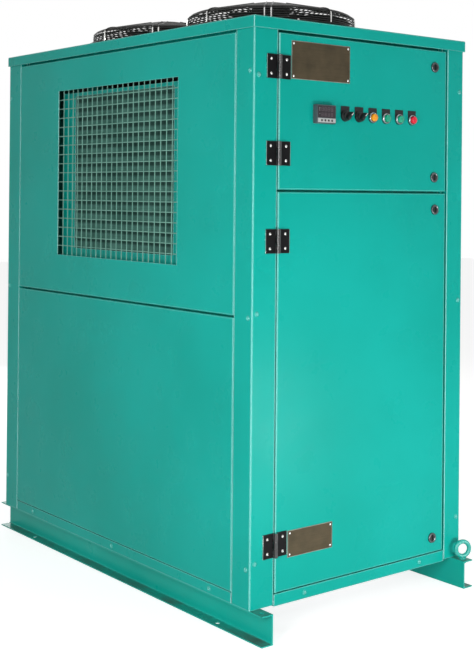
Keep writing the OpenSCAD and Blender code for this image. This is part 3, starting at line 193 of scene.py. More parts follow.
def screw_head(radius, height, recess=0.0, steps=24, finish=0):
    """Round head: h = H (1 - 0.85 s^2.4) at share s of its radius, less a cross slot inside s = 0.6."""
    share = np.array([0, 0.14, 0.27, 0.4, 0.52, 0.62, 0.8, 0.93, 1.0, 1.0, 0.0])
    t = np.arange(steps) * TURN / steps
    x, y = np.outer(share, np.cos(t)), np.outer(share, np.sin(t))
    cross = (np.minimum(abs(x), abs(y)) < 0.145) & (share[:, None] < 0.6)
    h = height * (1 - 0.85 * share[:, None] ** 2.4) - recess * cross
    h[-2:] = -0.1
    points = np.stack([x * radius, y * radius, h], -1).reshape(-1, 3)
    return points, grid_faces(len(share), steps, False, True), finish


def box_part(low, high, finish=0):
    """Plain closed box for small repeated things."""
    outline = [(low[0], low[1]), (high[0], low[1]), (high[0], high[1]), (low[0], high[1])]
    return prism(outline, low[2], high[2], "z", finish)


def rod(radius, low, high, at=(0, 0, 0), axis="z", steps=32, finish=0):
    """Solid cylinder between two heights."""
    return turned([(0, low), (radius, low), (radius, high), (0, high)], at, axis, steps, False, finish)


def sleeve(bore, radius, low, high, at=(0, 0, 0), axis="z", steps=32, finish=0):
    """Cylinder with a bore between two heights; six or eight steps make a nut."""
    outline = [(bore, low), (radius, low), (radius, high), (bore, high)]
    return turned(outline, at, axis, steps, True, finish)


def arc(radius, middle, height, up):
    """Quarter round of a dished end: (middle + r cos t, height + r sin t) from the wall up to the flat,

    or (middle + r sin t, height - r cos t) from the flat up to the wall."""
    t = np.radians(np.arange(0, 91, 15))
    if up:
        return np.column_stack([middle + radius * np.cos(t), height + radius * np.sin(t)])
    return np.column_stack([middle + radius * np.sin(t), height - radius * np.cos(t)])


def piece(name, parts, finishes, body, stands_for=(), crease=38, at=(0, 0, 0)):
    """One object from closed parts, moved to a place, doubles merged and faces turned outwards."""
    points = (np.vstack([p[0] for p in parts]) + np.array(at, float)) * MM
    faces, marks, start = [], [], 0
    for part, part_faces, finish in parts:
        faces += [[int(i) + start for i in f] for f in part_faces]
        marks += [finish] * len(part_faces)
        start += len(part)
    mesh = bpy.data.meshes.new(name)
    mesh.from_pydata(points.tolist(), [], faces)
    for material in finishes:
        mesh.materials.append(material)
    mesh.polygons.foreach_set("material_index", marks)
    shell = bmesh.new()
    shell.from_mesh(mesh)
    bmesh.ops.remove_doubles(shell, verts=shell.verts, dist=1e-6)
    bmesh.ops.recalc_face_normals(shell, faces=shell.faces)
    shell.to_mesh(mesh)
    shell.free()
    mesh.shade_smooth()
    mesh.set_sharp_from_angle(angle=math.radians(crease))
    obj = bpy.data.objects.new(name, mesh)
    bpy.context.scene.collection.objects.link(obj)
    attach(obj, body)
    if stands_for:
        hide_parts(*stands_for)
    return obj


def box_mm(node):
    """Lowest and highest corner of a CAD node in millimetres."""
    low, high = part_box(node)
    return np.array(low) / MM, np.array(high) / MM


# Finishes


def tone(red, green, blue):
    """Linear colour of an 8-bit screen colour."""
    s = np.array([red, green, blue]) / 255
    linear = np.where(s <= 0.04045, s / 12.92, ((s + 0.055) / 1.055) ** 2.4)
    return (*linear.tolist(), 1.0)


def put(tree, kind, feeds=None, **settings):
    """Adds a node; feeds gives a value or an output for each named or numbered input."""
    node = tree.nodes.new("ShaderNode" + kind)
    for key, value in settings.items():
        setattr(node, key, value)
    for key, value in (feeds or {}).items():
        if isinstance(value, bpy.types.NodeSocket):
            tree.links.new(value, node.inputs[key])
        else:
            node.inputs[key].default_value = value
    return node


def maths(tree, operation, *values):
    """Result of a Math node."""
    return put(tree, "Math", dict(enumerate(values)), operation=operation).outputs[0]


def ramp(tree, value, *limits):
    """Value taken from the range of the first two limits to the next two, or to 0 and 1."""
    return put(tree, "MapRange", dict(enumerate((value, *limits)))).outputs[0]


def blend(tree, share, first, second, kind="MIX"):
    """Colour between two, by a share."""
    return put(tree, "Mix", {0: share, 6: first, 7: second}, data_type="RGBA", blend_type=kind).outputs[2]


def label(name):
    """Socket label of a plain name."""
    return name.replace("_", " ").title()


def effect(name, build, outputs, **inputs):
    """A shared node group: build(tree, inputs) gives the output for each name in outputs."""
    tree = bpy.data.node_groups.new(name, "ShaderNodeTree")
    for key, value in inputs.items():
        kind = {4: "Color", 3: "Vector"}[len(value)] if isinstance(value, tuple) else "Float"
        socket = tree.interface.new_socket(label(key), in_out="INPUT", socket_type="NodeSocket" + kind)
        socket.default_value = value
    for key, kind in outputs.items():
        tree.interface.new_socket(key, in_out="OUTPUT", socket_type="NodeSocket" + kind)
    entry, leave = tree.nodes.new("NodeGroupInput"), tree.nodes.new("NodeGroupOutput")
    for key, source in build(tree, entry.outputs).items():
        tree.links.new(source, leave.inputs[key])
    return tree


def object_noise(tree, scale, detail=2.0):
    """Noise over the object's own coordinates."""
    where = put(tree, "TexCoord").outputs["Object"]
    return put(tree, "TexNoise", {"Vector": where, "Scale": scale, "Detail": detail}).outputs["Fac"]


def build_coat(tree, given):
    """Paint film: broad cloudy tone, fine orange peel, dust on level faces, rounded bends, painted highlight
    on bends.

    The painted highlight, partly rubbed paint and mostly a painted glint of light, lies where the rounded
    normal leaves the flat one; on level edges only a share of it shows, so upright bends carry the most
    painted glint."""
    cloud = ramp(tree, object_noise(tree, given["Cloud Size"], 3.0), 0.35, 0.65)
    body = blend(tree, cloud, given["Dark"], given["Light"])
    rounded = put(tree, "Bevel", {"Radius": given["Edge Width"]}, samples=6).outputs[0]
    flat = put(tree, "NewGeometry").outputs["True Normal"]
    apart = put(tree, "VectorMath", {0: rounded, 1: flat}, operation="DISTANCE").outputs["Value"]
    tilt = maths(tree, "ABSOLUTE", put(tree, "SeparateXYZ", {0: rounded}).outputs["Z"])
    level = ramp(tree, tilt, 0.08, 0.35, 1.0, given["Level Share"])
    # Painted highlight along bends, partly rubbed paint, weaker on level edges.
    bend_glint = maths(tree, "MULTIPLY", ramp(tree, apart, 0.05, 0.3), level)
    edged = blend(tree, maths(tree, "MULTIPLY", bend_glint, given["Edge Share"]), body, given["Edge"])
    facing = ramp(tree, put(tree, "SeparateXYZ", {0: flat}).outputs["Z"], 0.6, 1.0)
    dusty = maths(tree, "MULTIPLY", facing, ramp(tree, object_noise(tree, 9.0, 6.0), 0.3, 0.8))
    dust = maths(tree, "MULTIPLY", dusty, given["Dust"])
    gloss = ramp(tree, object_noise(tree, 14.0, 4.0), 0.3, 0.7, -0.05, 0.06)
    return {
        "Colour": blend(tree, dust, edged, given["Dust Tone"]),
        "Roughness": maths(tree, "ADD", given["Roughness"], gloss),
        "Peel": object_noise(tree, given["Peel Size"], 1.5),
        "Rounded": rounded,
    }


# Edge is the tone of the painted highlight on bends.
coat_effect = effect(
    "paint_film", build_coat, {"Colour": "Color", "Roughness": "Float", "Peel": "Float", "Rounded": "Vector"},
    light=(0.1, 0.4, 0.35, 1), dark=(0.1, 0.35, 0.3, 1), edge=(0.3, 0.7, 0.65, 1), edge_share=0.5,
    edge_width=0.003, level_share=1.0, cloud_size=2.2, peel_size=420.0, roughness=0.34, dust=0.15,
    dust_tone=tone(150, 160, 152),
)


def build_grain(tree, given):
    """Metal skin: drawn or rolled grain along one axis, smudges and a little tarnish."""
    where = put(tree, "TexCoord").outputs["Object"]
    drawn = put(tree, "VectorMath", {0: where, 1: given["Stretch"]}, operation="MULTIPLY").outputs[0]
    lines = put(tree, "TexNoise", {"Vector": drawn, "Scale": 1.0, "Detail": 3.0}).outputs["Fac"]
    smudge = ramp(tree, object_noise(tree, 16.0, 5.0), 0.35, 0.7)
    mixed = blend(tree, smudge, given["Light"], given["Dark"])
    return {
        "Colour": blend(tree, 1.0, mixed, ramp(tree, lines, 0.3, 0.7, 0.86, 1.1), "MULTIPLY"),
        "Roughness": maths(tree, "ADD", given["Roughness"], ramp(tree, lines, 0.3, 0.7, -0.08, 0.1)),
        "Grain": lines,
    }


grain_effect = effect(
    "metal_grain", build_grain, {"Colour": "Color", "Roughness": "Float", "Grain": "Float"},
    light=(0.7, 0.7, 0.7, 1), dark=(0.5, 0.5, 0.5, 1), stretch=(40.0, 40.0, 400.0), roughness=0.3,
)


def build_moulding(tree, given):
    """Moulded plastic: fine spark-eroded texture, faint flow tone and finger smears."""
    flow = ramp(tree, object_noise(tree, 25.0, 3.0), 0.3, 0.7)
    smear = ramp(tree, object_noise(tree, 45.0, 4.0), 0.35, 0.75, -0.04, 0.1)
    return {
        "Colour": blend(tree, flow, given["Dark"], given["Light"]),
        "Roughness": maths(tree, "ADD", given["Roughness"], smear),
        "Texture": object_noise(tree, 1600.0, 1.0),
    }


moulding_effect = effect(
    "moulded_plastic", build_moulding, {"Colour": "Color", "Roughness": "Float", "Texture": "Float"},
    light=(0.1, 0.1, 0.1, 1), dark=(0.05, 0.05, 0.05, 1), roughness=0.4,
)


TONES = ("light", "dark", "edge", "dust_tone")


def shaded(name, group, feeds, height, bump, plain):
    """A material from one effect group: its colour, roughness and height, and plain shader values."""
    material = bpy.data.materials.new(name)
    material.use_nodes = True
    tree = material.node_tree
    shader = tree.nodes["Principled BSDF"]
    skin = put(tree, "Group", node_tree=group)
    for key, value in feeds.items():
        skin.inputs[label(key)].default_value = tone(*value) if key in TONES else value
    tree.links.new(skin.outputs["Colour"], shader.inputs["Base Color"])
    tree.links.new(skin.outputs["Roughness"], shader.inputs["Roughness"])
    relief = put(tree, "Bump", {"Strength": bump, "Distance": 0.0004, "Height": skin.outputs[height]})
    if "Rounded" in skin.outputs:
        tree.links.new(skin.outputs["Rounded"], relief.inputs["Normal"])
    tree.links.new(relief.outputs[0], shader.inputs["Normal"])
    for key, value in plain.items():
        shader.inputs[key].default_value = value
    material.diffuse_color = tone(*feeds["light"])
    return material


def paint(name, light, dark, edge, gloss=0.3, bump=0.12, **more):
    """Sprayed or powder-coated metal."""
    feeds = {"light": light, "dark": dark, "edge": edge, **more}
    return shaded(name, coat_effect, feeds, "Peel", bump, {"Metallic": 0.0, "Specular IOR Level": gloss})


def metal(name, light, dark, stretch=(60, 60, 60), roughness=0.3, bump=0.1, metallic=1.0, gloss=0.5):
    """Bare, plated or galvanised metal."""
    feeds = {"light": light, "dark": dark, "stretch": stretch, "roughness": roughness}
    plain = {"Metallic": metallic, "Specular IOR Level": gloss}
    return shaded(name, grain_effect, feeds, "Grain", bump, plain)


def plastic(name, light, dark, roughness=0.4, coat=0.0, bump=0.08, gloss=0.3):
    """Moulded plastic or rubber."""
    feeds = {"light": light, "dark": dark, "roughness": roughness}
    plain = {"Metallic": 0.0, "Specular IOR Level": gloss, "Coat Weight": coat, "Coat Roughness": 0.05}
    return shaded(name, moulding_effect, feeds, "Texture", bump, plain)


# Edge tones are painted highlights on bends, partly rubbed paint; the teal's near-white edge is mostly
# painted glint.
teal = paint(
    "teal_powder_coat", (16, 178, 165), (8, 168, 154), (190, 255, 250), gloss=0.1, edge_share=1.0,
    edge_width=0.003, level_share=0.2, roughness=0.3, dust=0.1,
)
# The dust setting here turns the channels' upward faces dark brown, darker than their paint.
teal_channels = paint(
    "teal_coat_on_channels", (22, 186, 170), (10, 170, 154), (150, 250, 240), gloss=0.12, edge_share=0.4,
    edge_width=0.0015, level_share=0.2, roughness=0.32, dust=1.0, dust_tone=(84, 78, 70),
)
teal_fittings = paint(
    "teal_coat_on_fittings", (16, 176, 163), (8, 164, 150), (130, 236, 226), gloss=0.8, edge_share=0.5,
    edge_width=0.0009, roughness=0.24, dust=0.05,
)
mesh_coat = paint(
    "sage_wire_coat", (126, 182, 166), (112, 170, 154), (150, 198, 184), gloss=0.2, edge_share=0.2,
    cloud_size=9.0, peel_size=900.0, roughness=0.42, dust=0.1,
)
black_coat = paint(
    "black_powder_coat", (38, 37, 36), (26, 25, 25), (90, 88, 84), gloss=0.25, edge_share=0.4,
    edge_width=0.0012, cloud_size=8.0, roughness=0.38, dust=0.3,
)
box_coat = paint(
    "light_grey_paint", (214, 213, 204), (200, 200, 190), (226, 225, 218), edge_share=0.5,
    peel_size=260.0, roughness=0.45, dust=0.1,
)
pump_coat = paint(
    "blue_machine_paint", (38, 84, 146), (28, 66, 122), (80, 124, 176), edge_share=0.5,
    peel_size=300.0, roughness=0.4, dust=0.3,
)
stove_coat = paint(
    "black_stoved_paint", (34, 34, 36), (22, 22, 24), (70, 70, 72), edge_share=0.4,
    peel_size=240.0, roughness=0.42, dust=0.35,
)
# The hinge paints' pale edge tones are painted highlights on leaf and barrel edges, partly rubbed paint.
hinge_coat = paint(
    "black_hinge_coat", (14, 14, 16), (7, 7, 9), (150, 156, 156), gloss=0.1, edge_share=0.5,
    edge_width=0.0006, level_share=0.2, cloud_size=20.0, peel_size=700.0, roughness=0.42, dust=0.0,
)
hinge_barrel = paint(
    "black_hinge_barrel", (22, 22, 24), (12, 12, 14), (176, 184, 182), gloss=1.0, edge_share=0.3,
    edge_width=0.0005, cloud_size=20.0, peel_size=700.0, roughness=0.2, dust=0.0,
)
drier_coat = paint(
    "green_drier_coat", (60, 116, 78), (46, 98, 64), (100, 150, 116), edge_share=0.4,
    peel_size=300.0, roughness=0.4, dust=0.25,
)
lock_chrome = metal("smoked_chrome", (104, 108, 110), (70, 74, 76), (160, 160, 160), 0.2, 0.02)
zinc = metal("zinc_plate", (226, 226, 222), (196, 197, 196), (90, 90, 90), 0.22)
galvanised = metal("galvanised_steel", (188, 193, 195), (158, 164, 167), (28, 28, 28), 0.42, 0.2)
chrome = metal("bright_chrome", (150, 154, 156), (122, 126, 130), (160, 160, 160), 0.16, 0.02)
dark_metal = metal("dark_plated_zinc", (62, 64, 66), (38, 40, 42), (200, 200, 200), 0.35)
bronze = metal("bronze_anodised_plate", (88, 78, 60), (66, 60, 46), (30, 400, 900), 0.5, 0.12, 0.25, 0.1)
plate_rim = metal("ground_plate_edge", (150, 150, 140), (118, 116, 104), (300, 300, 300), 0.5, 0.05, 0.3, 0.1)
stainless = metal("stainless_steel", (204, 206, 208), (176, 180, 183), (300, 300, 20), 0.28)
copper = metal("drawn_copper", (206, 132, 92), (160, 96, 66), (30, 30, 30), 0.32)
fin_metal = metal("coated_aluminium_fins", (104, 158, 146), (74, 126, 114), (20, 20, 300), 0.5, 0.1, 0.1, 0.1)
rubber = plastic("black_rubber", (34, 34, 34), (22, 22, 22), 0.7, 0.0, 0.2)
slate = plastic("slate_grey_case", (82, 94, 98), (66, 77, 81), 0.42)
black_plastic = plastic("black_plastic", (24, 25, 27), (13, 14, 15), 0.34, 0.0)
pale_plastic = plastic("pale_grey_plastic", (196, 200, 198), (178, 183, 182), 0.45)
device_grey = plastic("device_grey_plastic", (168, 172, 172), (146, 150, 151), 0.5)
display_dark = plastic("display_window", (52, 44, 50), (38, 32, 38), 0.2, 0.0, 0.0)
segment_dim = plastic("unlit_segments", (112, 98, 104), (92, 80, 88), 0.3)
white_line = plastic("white_inlay", (244, 246, 244), (226, 230, 228), 0.35)
amber = plastic("amber_lens", (255, 168, 26), (246, 144, 10), 0.2, 0.2, 0.02)
green = plastic("green_lens", (22, 176, 138), (10, 150, 116), 0.2, 0.2, 0.02)
red = plastic("red_lens", (240, 24, 56), (214, 8, 40), 0.2, 0.2, 0.02)
earth_green = plastic("earth_terminal_green", (92, 160, 52), (74, 138, 40), 0.45)

NODE_FINISHES = {
    teal_fittings: "lifting_eyebolt frame_screws",
    teal_channels: "base_channel_left base_channel_right",
    teal: "corner_posts frame_rails roof_cap "
    "side_panel_left_upper side_panel_left_lower side_panel_right_upper side_panel_right_lower "
    "rear_panel_upper rear_panel_lower control_door service_door coil_casings",
    galvanised: "floor_pan mid_deck water_pipes",
    mesh_coat: "mesh_left mesh_right",
    rubber: "door_seals compressor_mounts",
    hinge_coat: "hinge_frame_leaves hinge_leaves_control hinge_leaves_service",
    zinc: "hinge_pins hinge_screws_frame hinge_screws_control hinge_screws_service",
    bronze: "name_plate_upper name_plate_lower",
    chrome: "lock_rings_control lock_rings_service control_bezels",
    dark_metal: "lock_core_1 lock_core_2 lock_core_3 lock_core_4",
    slate: "temperature_controller",
    black_plastic: "legend_plates selector_knob_1 selector_knob_2",
    amber: "button_amber",
    green: "button_green_1 button_green_2",
    red: "button_red",
    box_coat: "electrical_box",
    device_grey: "switchgear",
    black_coat: "fan_shrouds fan_guards fan_motors fan_rotor_front fan_rotor_rear",
    fin_metal: "condenser_coils",
    stove_coat: "compressor",
    stainless: "plate_evaporator water_tank",
    copper: "refrigerant_pipes",
    pump_coat: "water_pump",
}
for material, names in NODE_FINISHES.items():
    for node_name in names.split():
        node_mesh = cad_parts[node_name].data
        node_mesh.materials.clear()
        node_mesh.materials.append(material)


# Wire mesh behind the air windows

WIRE_D = 3.0
WIRE_PITCH = 27.2
WIRE_LAP = 6.0
WIRE_TUCK = 3.0
WIRE_BLUR = 0.12
# Tone of the painted shadow that the level wires cast on the fins.
WIRE_SHADE = tone(38, 62, 58)


def wire_sheet(node, side):
    """Welded mesh of round wires: upright ones in front, level ones behind, the outermost under the sheet."""
    low, high = box_mm(node)
    outer = side * (abs(high[0]) if side > 0 else abs(low[0]))
    y0, y1 = low[1] + WIRE_LAP, high[1] - WIRE_LAP
    z0, z1 = low[2] + WIRE_LAP, high[2] - WIRE_LAP
    columns = np.linspace(y0, y1, round((y1 - y0) / WIRE_PITCH) + 1)
    columns[[0, -1]] += (-WIRE_TUCK, WIRE_TUCK)
    rows = np.linspace(z0, z1, round((z1 - z0) / WIRE_PITCH) + 1)
    rows[[0, -1]] += (-WIRE_TUCK, WIRE_TUCK)
    r = WIRE_D / 2
    front_x, back_x = outer - side * r, outer - side * (r + WIRE_D * 0.86)
    upright = tube([[front_x, 0, low[2]], [front_x, 0, high[2]]], r)
    level = tube([[back_x, low[1], 0], [back_x, high[1], 0]], r)
    parts = [
        repeated(upright, [[0, y, 0] for y in columns]),
        repeated(level, [[0, 0, z] for z in rows]),
    ]
    piece(node + "_wires", parts, [mesh_coat], "cabinet", [node])


wire_sheet("mesh_left", -1)
wire_sheet("mesh_right", 1)


def shade_behind_wires(material, node, share, depth):
    """Painted shadow of the level wires: fins darker in the upper share of each cell, close below a wire."""
    low, high = box_mm(node)
    z0, z1 = low[2] + WIRE_LAP, high[2] - WIRE_LAP
    pitch = (z1 - z0) / round((z1 - z0) / WIRE_PITCH)
    tree = material.node_tree
    shader = tree.nodes["Principled BSDF"]
    colour = shader.inputs["Base Color"].links[0].from_socket
    height = put(tree, "SeparateXYZ", {0: put(tree, "TexCoord").outputs["Object"]}).outputs["Z"]
    cells = maths(tree, "DIVIDE", maths(tree, "SUBTRACT", height, z0 * MM), pitch * MM)
    edge = 1 - share
    painted_wire_shadow = ramp(tree, maths(tree, "FRACT", cells), edge - WIRE_BLUR, edge + WIRE_BLUR)
    shade = blend(tree, maths(tree, "MULTIPLY", painted_wire_shadow, depth), colour, WIRE_SHADE)
    tree.links.new(shade, shader.inputs["Base Color"])


shade_behind_wires(fin_metal, "mesh_left", 0.42, 0.75)


# Fans

GUARD_R = 241.0
GUARD_H = 78.0
GUARD_WIRE = 4.0
RING_R, RIB_R = 1.9, 2.1
SHROUD_R = 243.0
SHOULDER_R = 0.82 * SHROUD_R
WALL_H = 0.35 * GUARD_H
DOME_H = 0.59 * GUARD_H
HUB_PLATE_R = 66.0
TWIN_GAP = 18.0
GUARD_TURNS = (3.4, 1.0)
fan_low, fan_high = box_mm("fan_guards")
guard_z = fan_low[2]
fan_centres = [(0.0, fan_low[1] + SHROUD_R + 2, guard_z), (0.0, fan_high[1] - SHROUD_R - 2, guard_z)]


def shoulder(degrees):
    """Upright quarter ellipse from the guard's wall to its flat top: (radius, height)."""
    a = np.radians(degrees)
    out, up = GUARD_R - SHOULDER_R, DOME_H - WALL_H
    return np.column_stack([SHOULDER_R + out * np.cos(a), WALL_H + up * np.sin(a)])


def top_height(radius):
    """Height of the guard's gently rising top at a radius."""
    rise = GUARD_H - GUARD_WIRE - DOME_H
    return DOME_H + rise * (SHOULDER_R - radius) / (SHOULDER_R - HUB_PLATE_R)


def fan_guard(index, centre):
    """Rings of round wire, ribs bent over the shoulder and a pressed hub plate."""
    r = GUARD_WIRE / 2
    wall = [(GUARD_R - 1, h * GUARD_H) for h in (0.045, 0.12, 0.195, 0.27, 0.35)]
    bend = [tuple(p) for p in shoulder(np.array([20.0, 38.0, 54.0, 72.0]))]
    radii = SHOULDER_R - np.arange(12) * (SHOULDER_R - HUB_PLATE_R) / 12
    top = [(radius, top_height(radius)) for radius in radii]
    rings = [
        tube(circle_path((0, 0, h - r), radius - r, 72), RING_R, 6, True) for radius, h in wall + bend + top
    ]
    rib_end = [[HUB_PLATE_R, top_height(HUB_PLATE_R)]]
    out = np.vstack([[[GUARD_R, 3.0]], shoulder(np.arange(0, 91, 15.0)), rib_end])
    ribs = []
    for angle in range(0, 360, 45):
        for side in ([0] if angle % 90 == 0 else [-TWIN_GAP / 2, TWIN_GAP / 2]):
            path = np.stack([out[:, 0], np.full(len(out), float(side)), out[:, 1]], -1)
            upright, over_top = tube(path[:3], RIB_R, 8, finish=1), tube(path[2:], RIB_R, 8)
            ribs += [swung(upright, angle), swung(over_top, angle)]
    z, rim = GUARD_H - GUARD_WIRE, HUB_PLATE_R
    plate = [(42, -3), (rim, -3), (rim + 1, -1.5), (rim, 0), (60, 0.5), (50, 1.2), (42, 1.2)]
    hub = turned(plate, (0, 0, z), steps=64, ring=True)
    parts = [swung(part, GUARD_TURNS[index]) for part in (*rings, *ribs, hub)]
    stands_for = ["fan_guards"] if index == 0 else []
    piece(f"fan_guard_{index + 1}", parts, [black_coat, zinc], "cabinet", stands_for, at=centre)


for fan_index, fan_centre in enumerate(fan_centres):
    fan_guard(fan_index, fan_centre)


# Cabinet front

FRONT_Y, REAR_Y, SIDE_X = -620.0, 640.0, 380.0
HINGE_X, HINGE_ZS = -302.5, (1189.5, 1404.0, 223.0, 972.5)
LEAF_T, PIN_Y, LEAF_HALF = 3.0, -625.9, 30.0


def hinge_leaves(node, body, side, zs, spans):
    """Stamped leaf with a zinc strip on its outer edge, a painted highlight of the lit edge.

    Rolled into knuckles round the pin over some spans of z.
    """
    h = LEAF_HALF
    leaf = rounded_box((5.4, 2.9, -h), (38.3, 5.9, h), 0.5)
    # Zinc strip on the leaf's outer edge: painted highlight of the lit edge.
    edge_glint_strip = rounded_box((37.8, 3.0, 0.4 - h), (38.5, 5.9, h - 0.4), 0.2, finish=1)
    parts = [leaf, edge_glint_strip]
    for z0, z1 in spans:
        knuckle = [(2.6, z0), (5.2, z0), (5.6, z0 + 0.5), (5.6, z1 - 0.5), (5.2, z1), (2.6, z1)]
        parts += [turned(knuckle, steps=40, ring=True, finish=2), box_part((2.8, 2.9, z0), (6.0, 5.5, z1))]
    parts = [(points * (side, 1, 1), faces, finish) for points, faces, finish in parts]
    parts = [repeated(p, [(HINGE_X, PIN_Y, z) for z in zs]) for p in parts]
    finishes = [hinge_coat, zinc, hinge_barrel]
    piece(node + "_rolled", parts, finishes, body, [node], crease=21)


FRAME_SPANS, DOOR_SPANS = ((-LEAF_HALF, -10.2), (10.2, LEAF_HALF)), ((-9.8, 9.8),)
hinge_leaves("hinge_frame_leaves", "cabinet", -1, HINGE_ZS, FRAME_SPANS)
hinge_leaves("hinge_leaves_control", "control_door", 1, HINGE_ZS[:2], DOOR_SPANS)
hinge_leaves("hinge_leaves_service", "service_door", 1, HINGE_ZS[2:], DOOR_SPANS)


def hinge_screws(node, body, side, zs):
    """Cross-recess screws on the free end of hinge leaves."""
    head = faced(screw_head(3.6, 1.7, 1.0), "front", (HINGE_X + side * 24.64, FRONT_Y - LEAF_T, 0))
    moves = [(0, 0, z + up) for z in zs for up in (-18, 18)]
    piece(node + "_heads", [repeated(head, moves)], [zinc], body, [node])


hinge_screws("hinge_screws_frame", "cabinet", -1, HINGE_ZS)
hinge_screws("hinge_screws_control", "control_door", 1, HINGE_ZS[:2])
hinge_screws("hinge_screws_service", "service_door", 1, HINGE_ZS[2:])


SCREW_INSET, CASE_FOOT, CASE_HEIGHT = 15.0, 75.0, 1450.0
RAIL_SCREW_Z, FRONT_RAIL_SCREW_Z = 88.5, 86.0
SIDE_RAIL_Y, SIDE_RAIL_LEN = -547.0, 1109.0
END_RAIL_X, FRONT_RAIL_LEN, REAR_RAIL_LEN = -302.0, 616.0, 604.0


def case_screws():
    """Painted round-head screws of the posts and bottom rails."""
    head = screw_head(6.5, 3.6, 1.4)
    out = []
    for side_x, side in ((-1, "left"), (1, "right")):
        x = side_x * (SIDE_X - SCREW_INSET)
        for share in (0.077, 0.497, 0.9):
            out += [faced(head, "front", (x, FRONT_Y, CASE_FOOT + share * CASE_HEIGHT))]
            out += [faced(head, "rear", (x, REAR_Y, CASE_FOOT + share * CASE_HEIGHT))]
        for share in (0.067, 0.49, 0.907):
            for y in (FRONT_Y + SCREW_INSET, REAR_Y - SCREW_INSET):
                out += [faced(head, side, (side_x * SIDE_X, y, CASE_FOOT + share * CASE_HEIGHT))]
        for share in (0.081, 0.494, 0.907):
            out += [faced(head, side, (side_x * SIDE_X, SIDE_RAIL_Y + share * SIDE_RAIL_LEN, RAIL_SCREW_Z))]
    for share in (0.163, 0.843):
        out += [faced(head, "front", (END_RAIL_X + share * FRONT_RAIL_LEN, FRONT_Y, FRONT_RAIL_SCREW_Z))]
        out += [faced(head, "rear", (END_RAIL_X + share * REAR_RAIL_LEN, REAR_Y, RAIL_SCREW_Z))]
    piece("case_screw_heads", out, [teal_fittings], "cabinet", ["frame_screws"])


case_screws()


def name_plate(node, body):
    """Bare plate: bright ground edge, dull field a little proud, four round rivets."""
    low, (x1, back, z1) = box_mm(node)
    x0, z0 = low[[0, 2]]
    edge = rounded_box((x0, back - 1.1, z0), (x1, back, z1), 0.5, finish=1)
    field = rounded_box((x0 + 1.6, back - 1.25, z0 + 1.6), (x1 - 1.6, back - 0.6, z1 - 1.6), 0.3)
    rivet = faced(screw_head(3.0, 1.4, finish=2), "front", (0, back - 1.2, 0))
    rivets = repeated(rivet, [(x, 0, z) for x in (x0 + 7, x1 - 7) for z in (z0 + 7, z1 - 7)])
    parts, finishes = [edge, field, rivets], [bronze, plate_rim, zinc]
    piece(node + "_bare", parts, finishes, body, [node], crease=21)


name_plate("name_plate_upper", "control_door")
name_plate("name_plate_lower", "service_door")

LOCKS = {
    "lock_rings_control": [(262.0, 1139.0), (262.0, 1443.0)],
    "lock_rings_service": [(266.0, 144.0), (266.0, 1050.0)],
}
LOCK_RING = [(8.6, -22), (10, -22), (10, 0), (14, 0), (14, 2.6), (13.5, 3.9), (12.4, 4.8), (11.6, 5.0),
             (10.4, 4.7), (9.4, 3.9), (8.6, 3.8)]
for lock_node, lock_spots in LOCKS.items():
    lock_parts = []
    for lock_x, lock_z in lock_spots:
        at = (lock_x, FRONT_Y, lock_z)
        lock_parts += [turned(LOCK_RING, at, "y", 40, True), sleeve(10.1, 16, -6.5, -1.6, at, "y", 6, 1)]
        lock_parts += [sleeve(8.6, 14, -1.5, -2.4, at, "y", 32, 1)]
    lock_body = "control_door" if "control" in lock_node else "service_door"
    piece(lock_node + "_turned", lock_parts, [lock_chrome, zinc], lock_body, [lock_node])


# Controls

SWITCH_XS = [-76.13 + 49.715 * i for i in range(6)]
SWITCH_Z = 1293.0
CONTROL_X = -153.6


CASE_W, CASE_H, CASE_DEPTH, FACE_PROUD = 66.0, 48.0, 61.0, 15.9


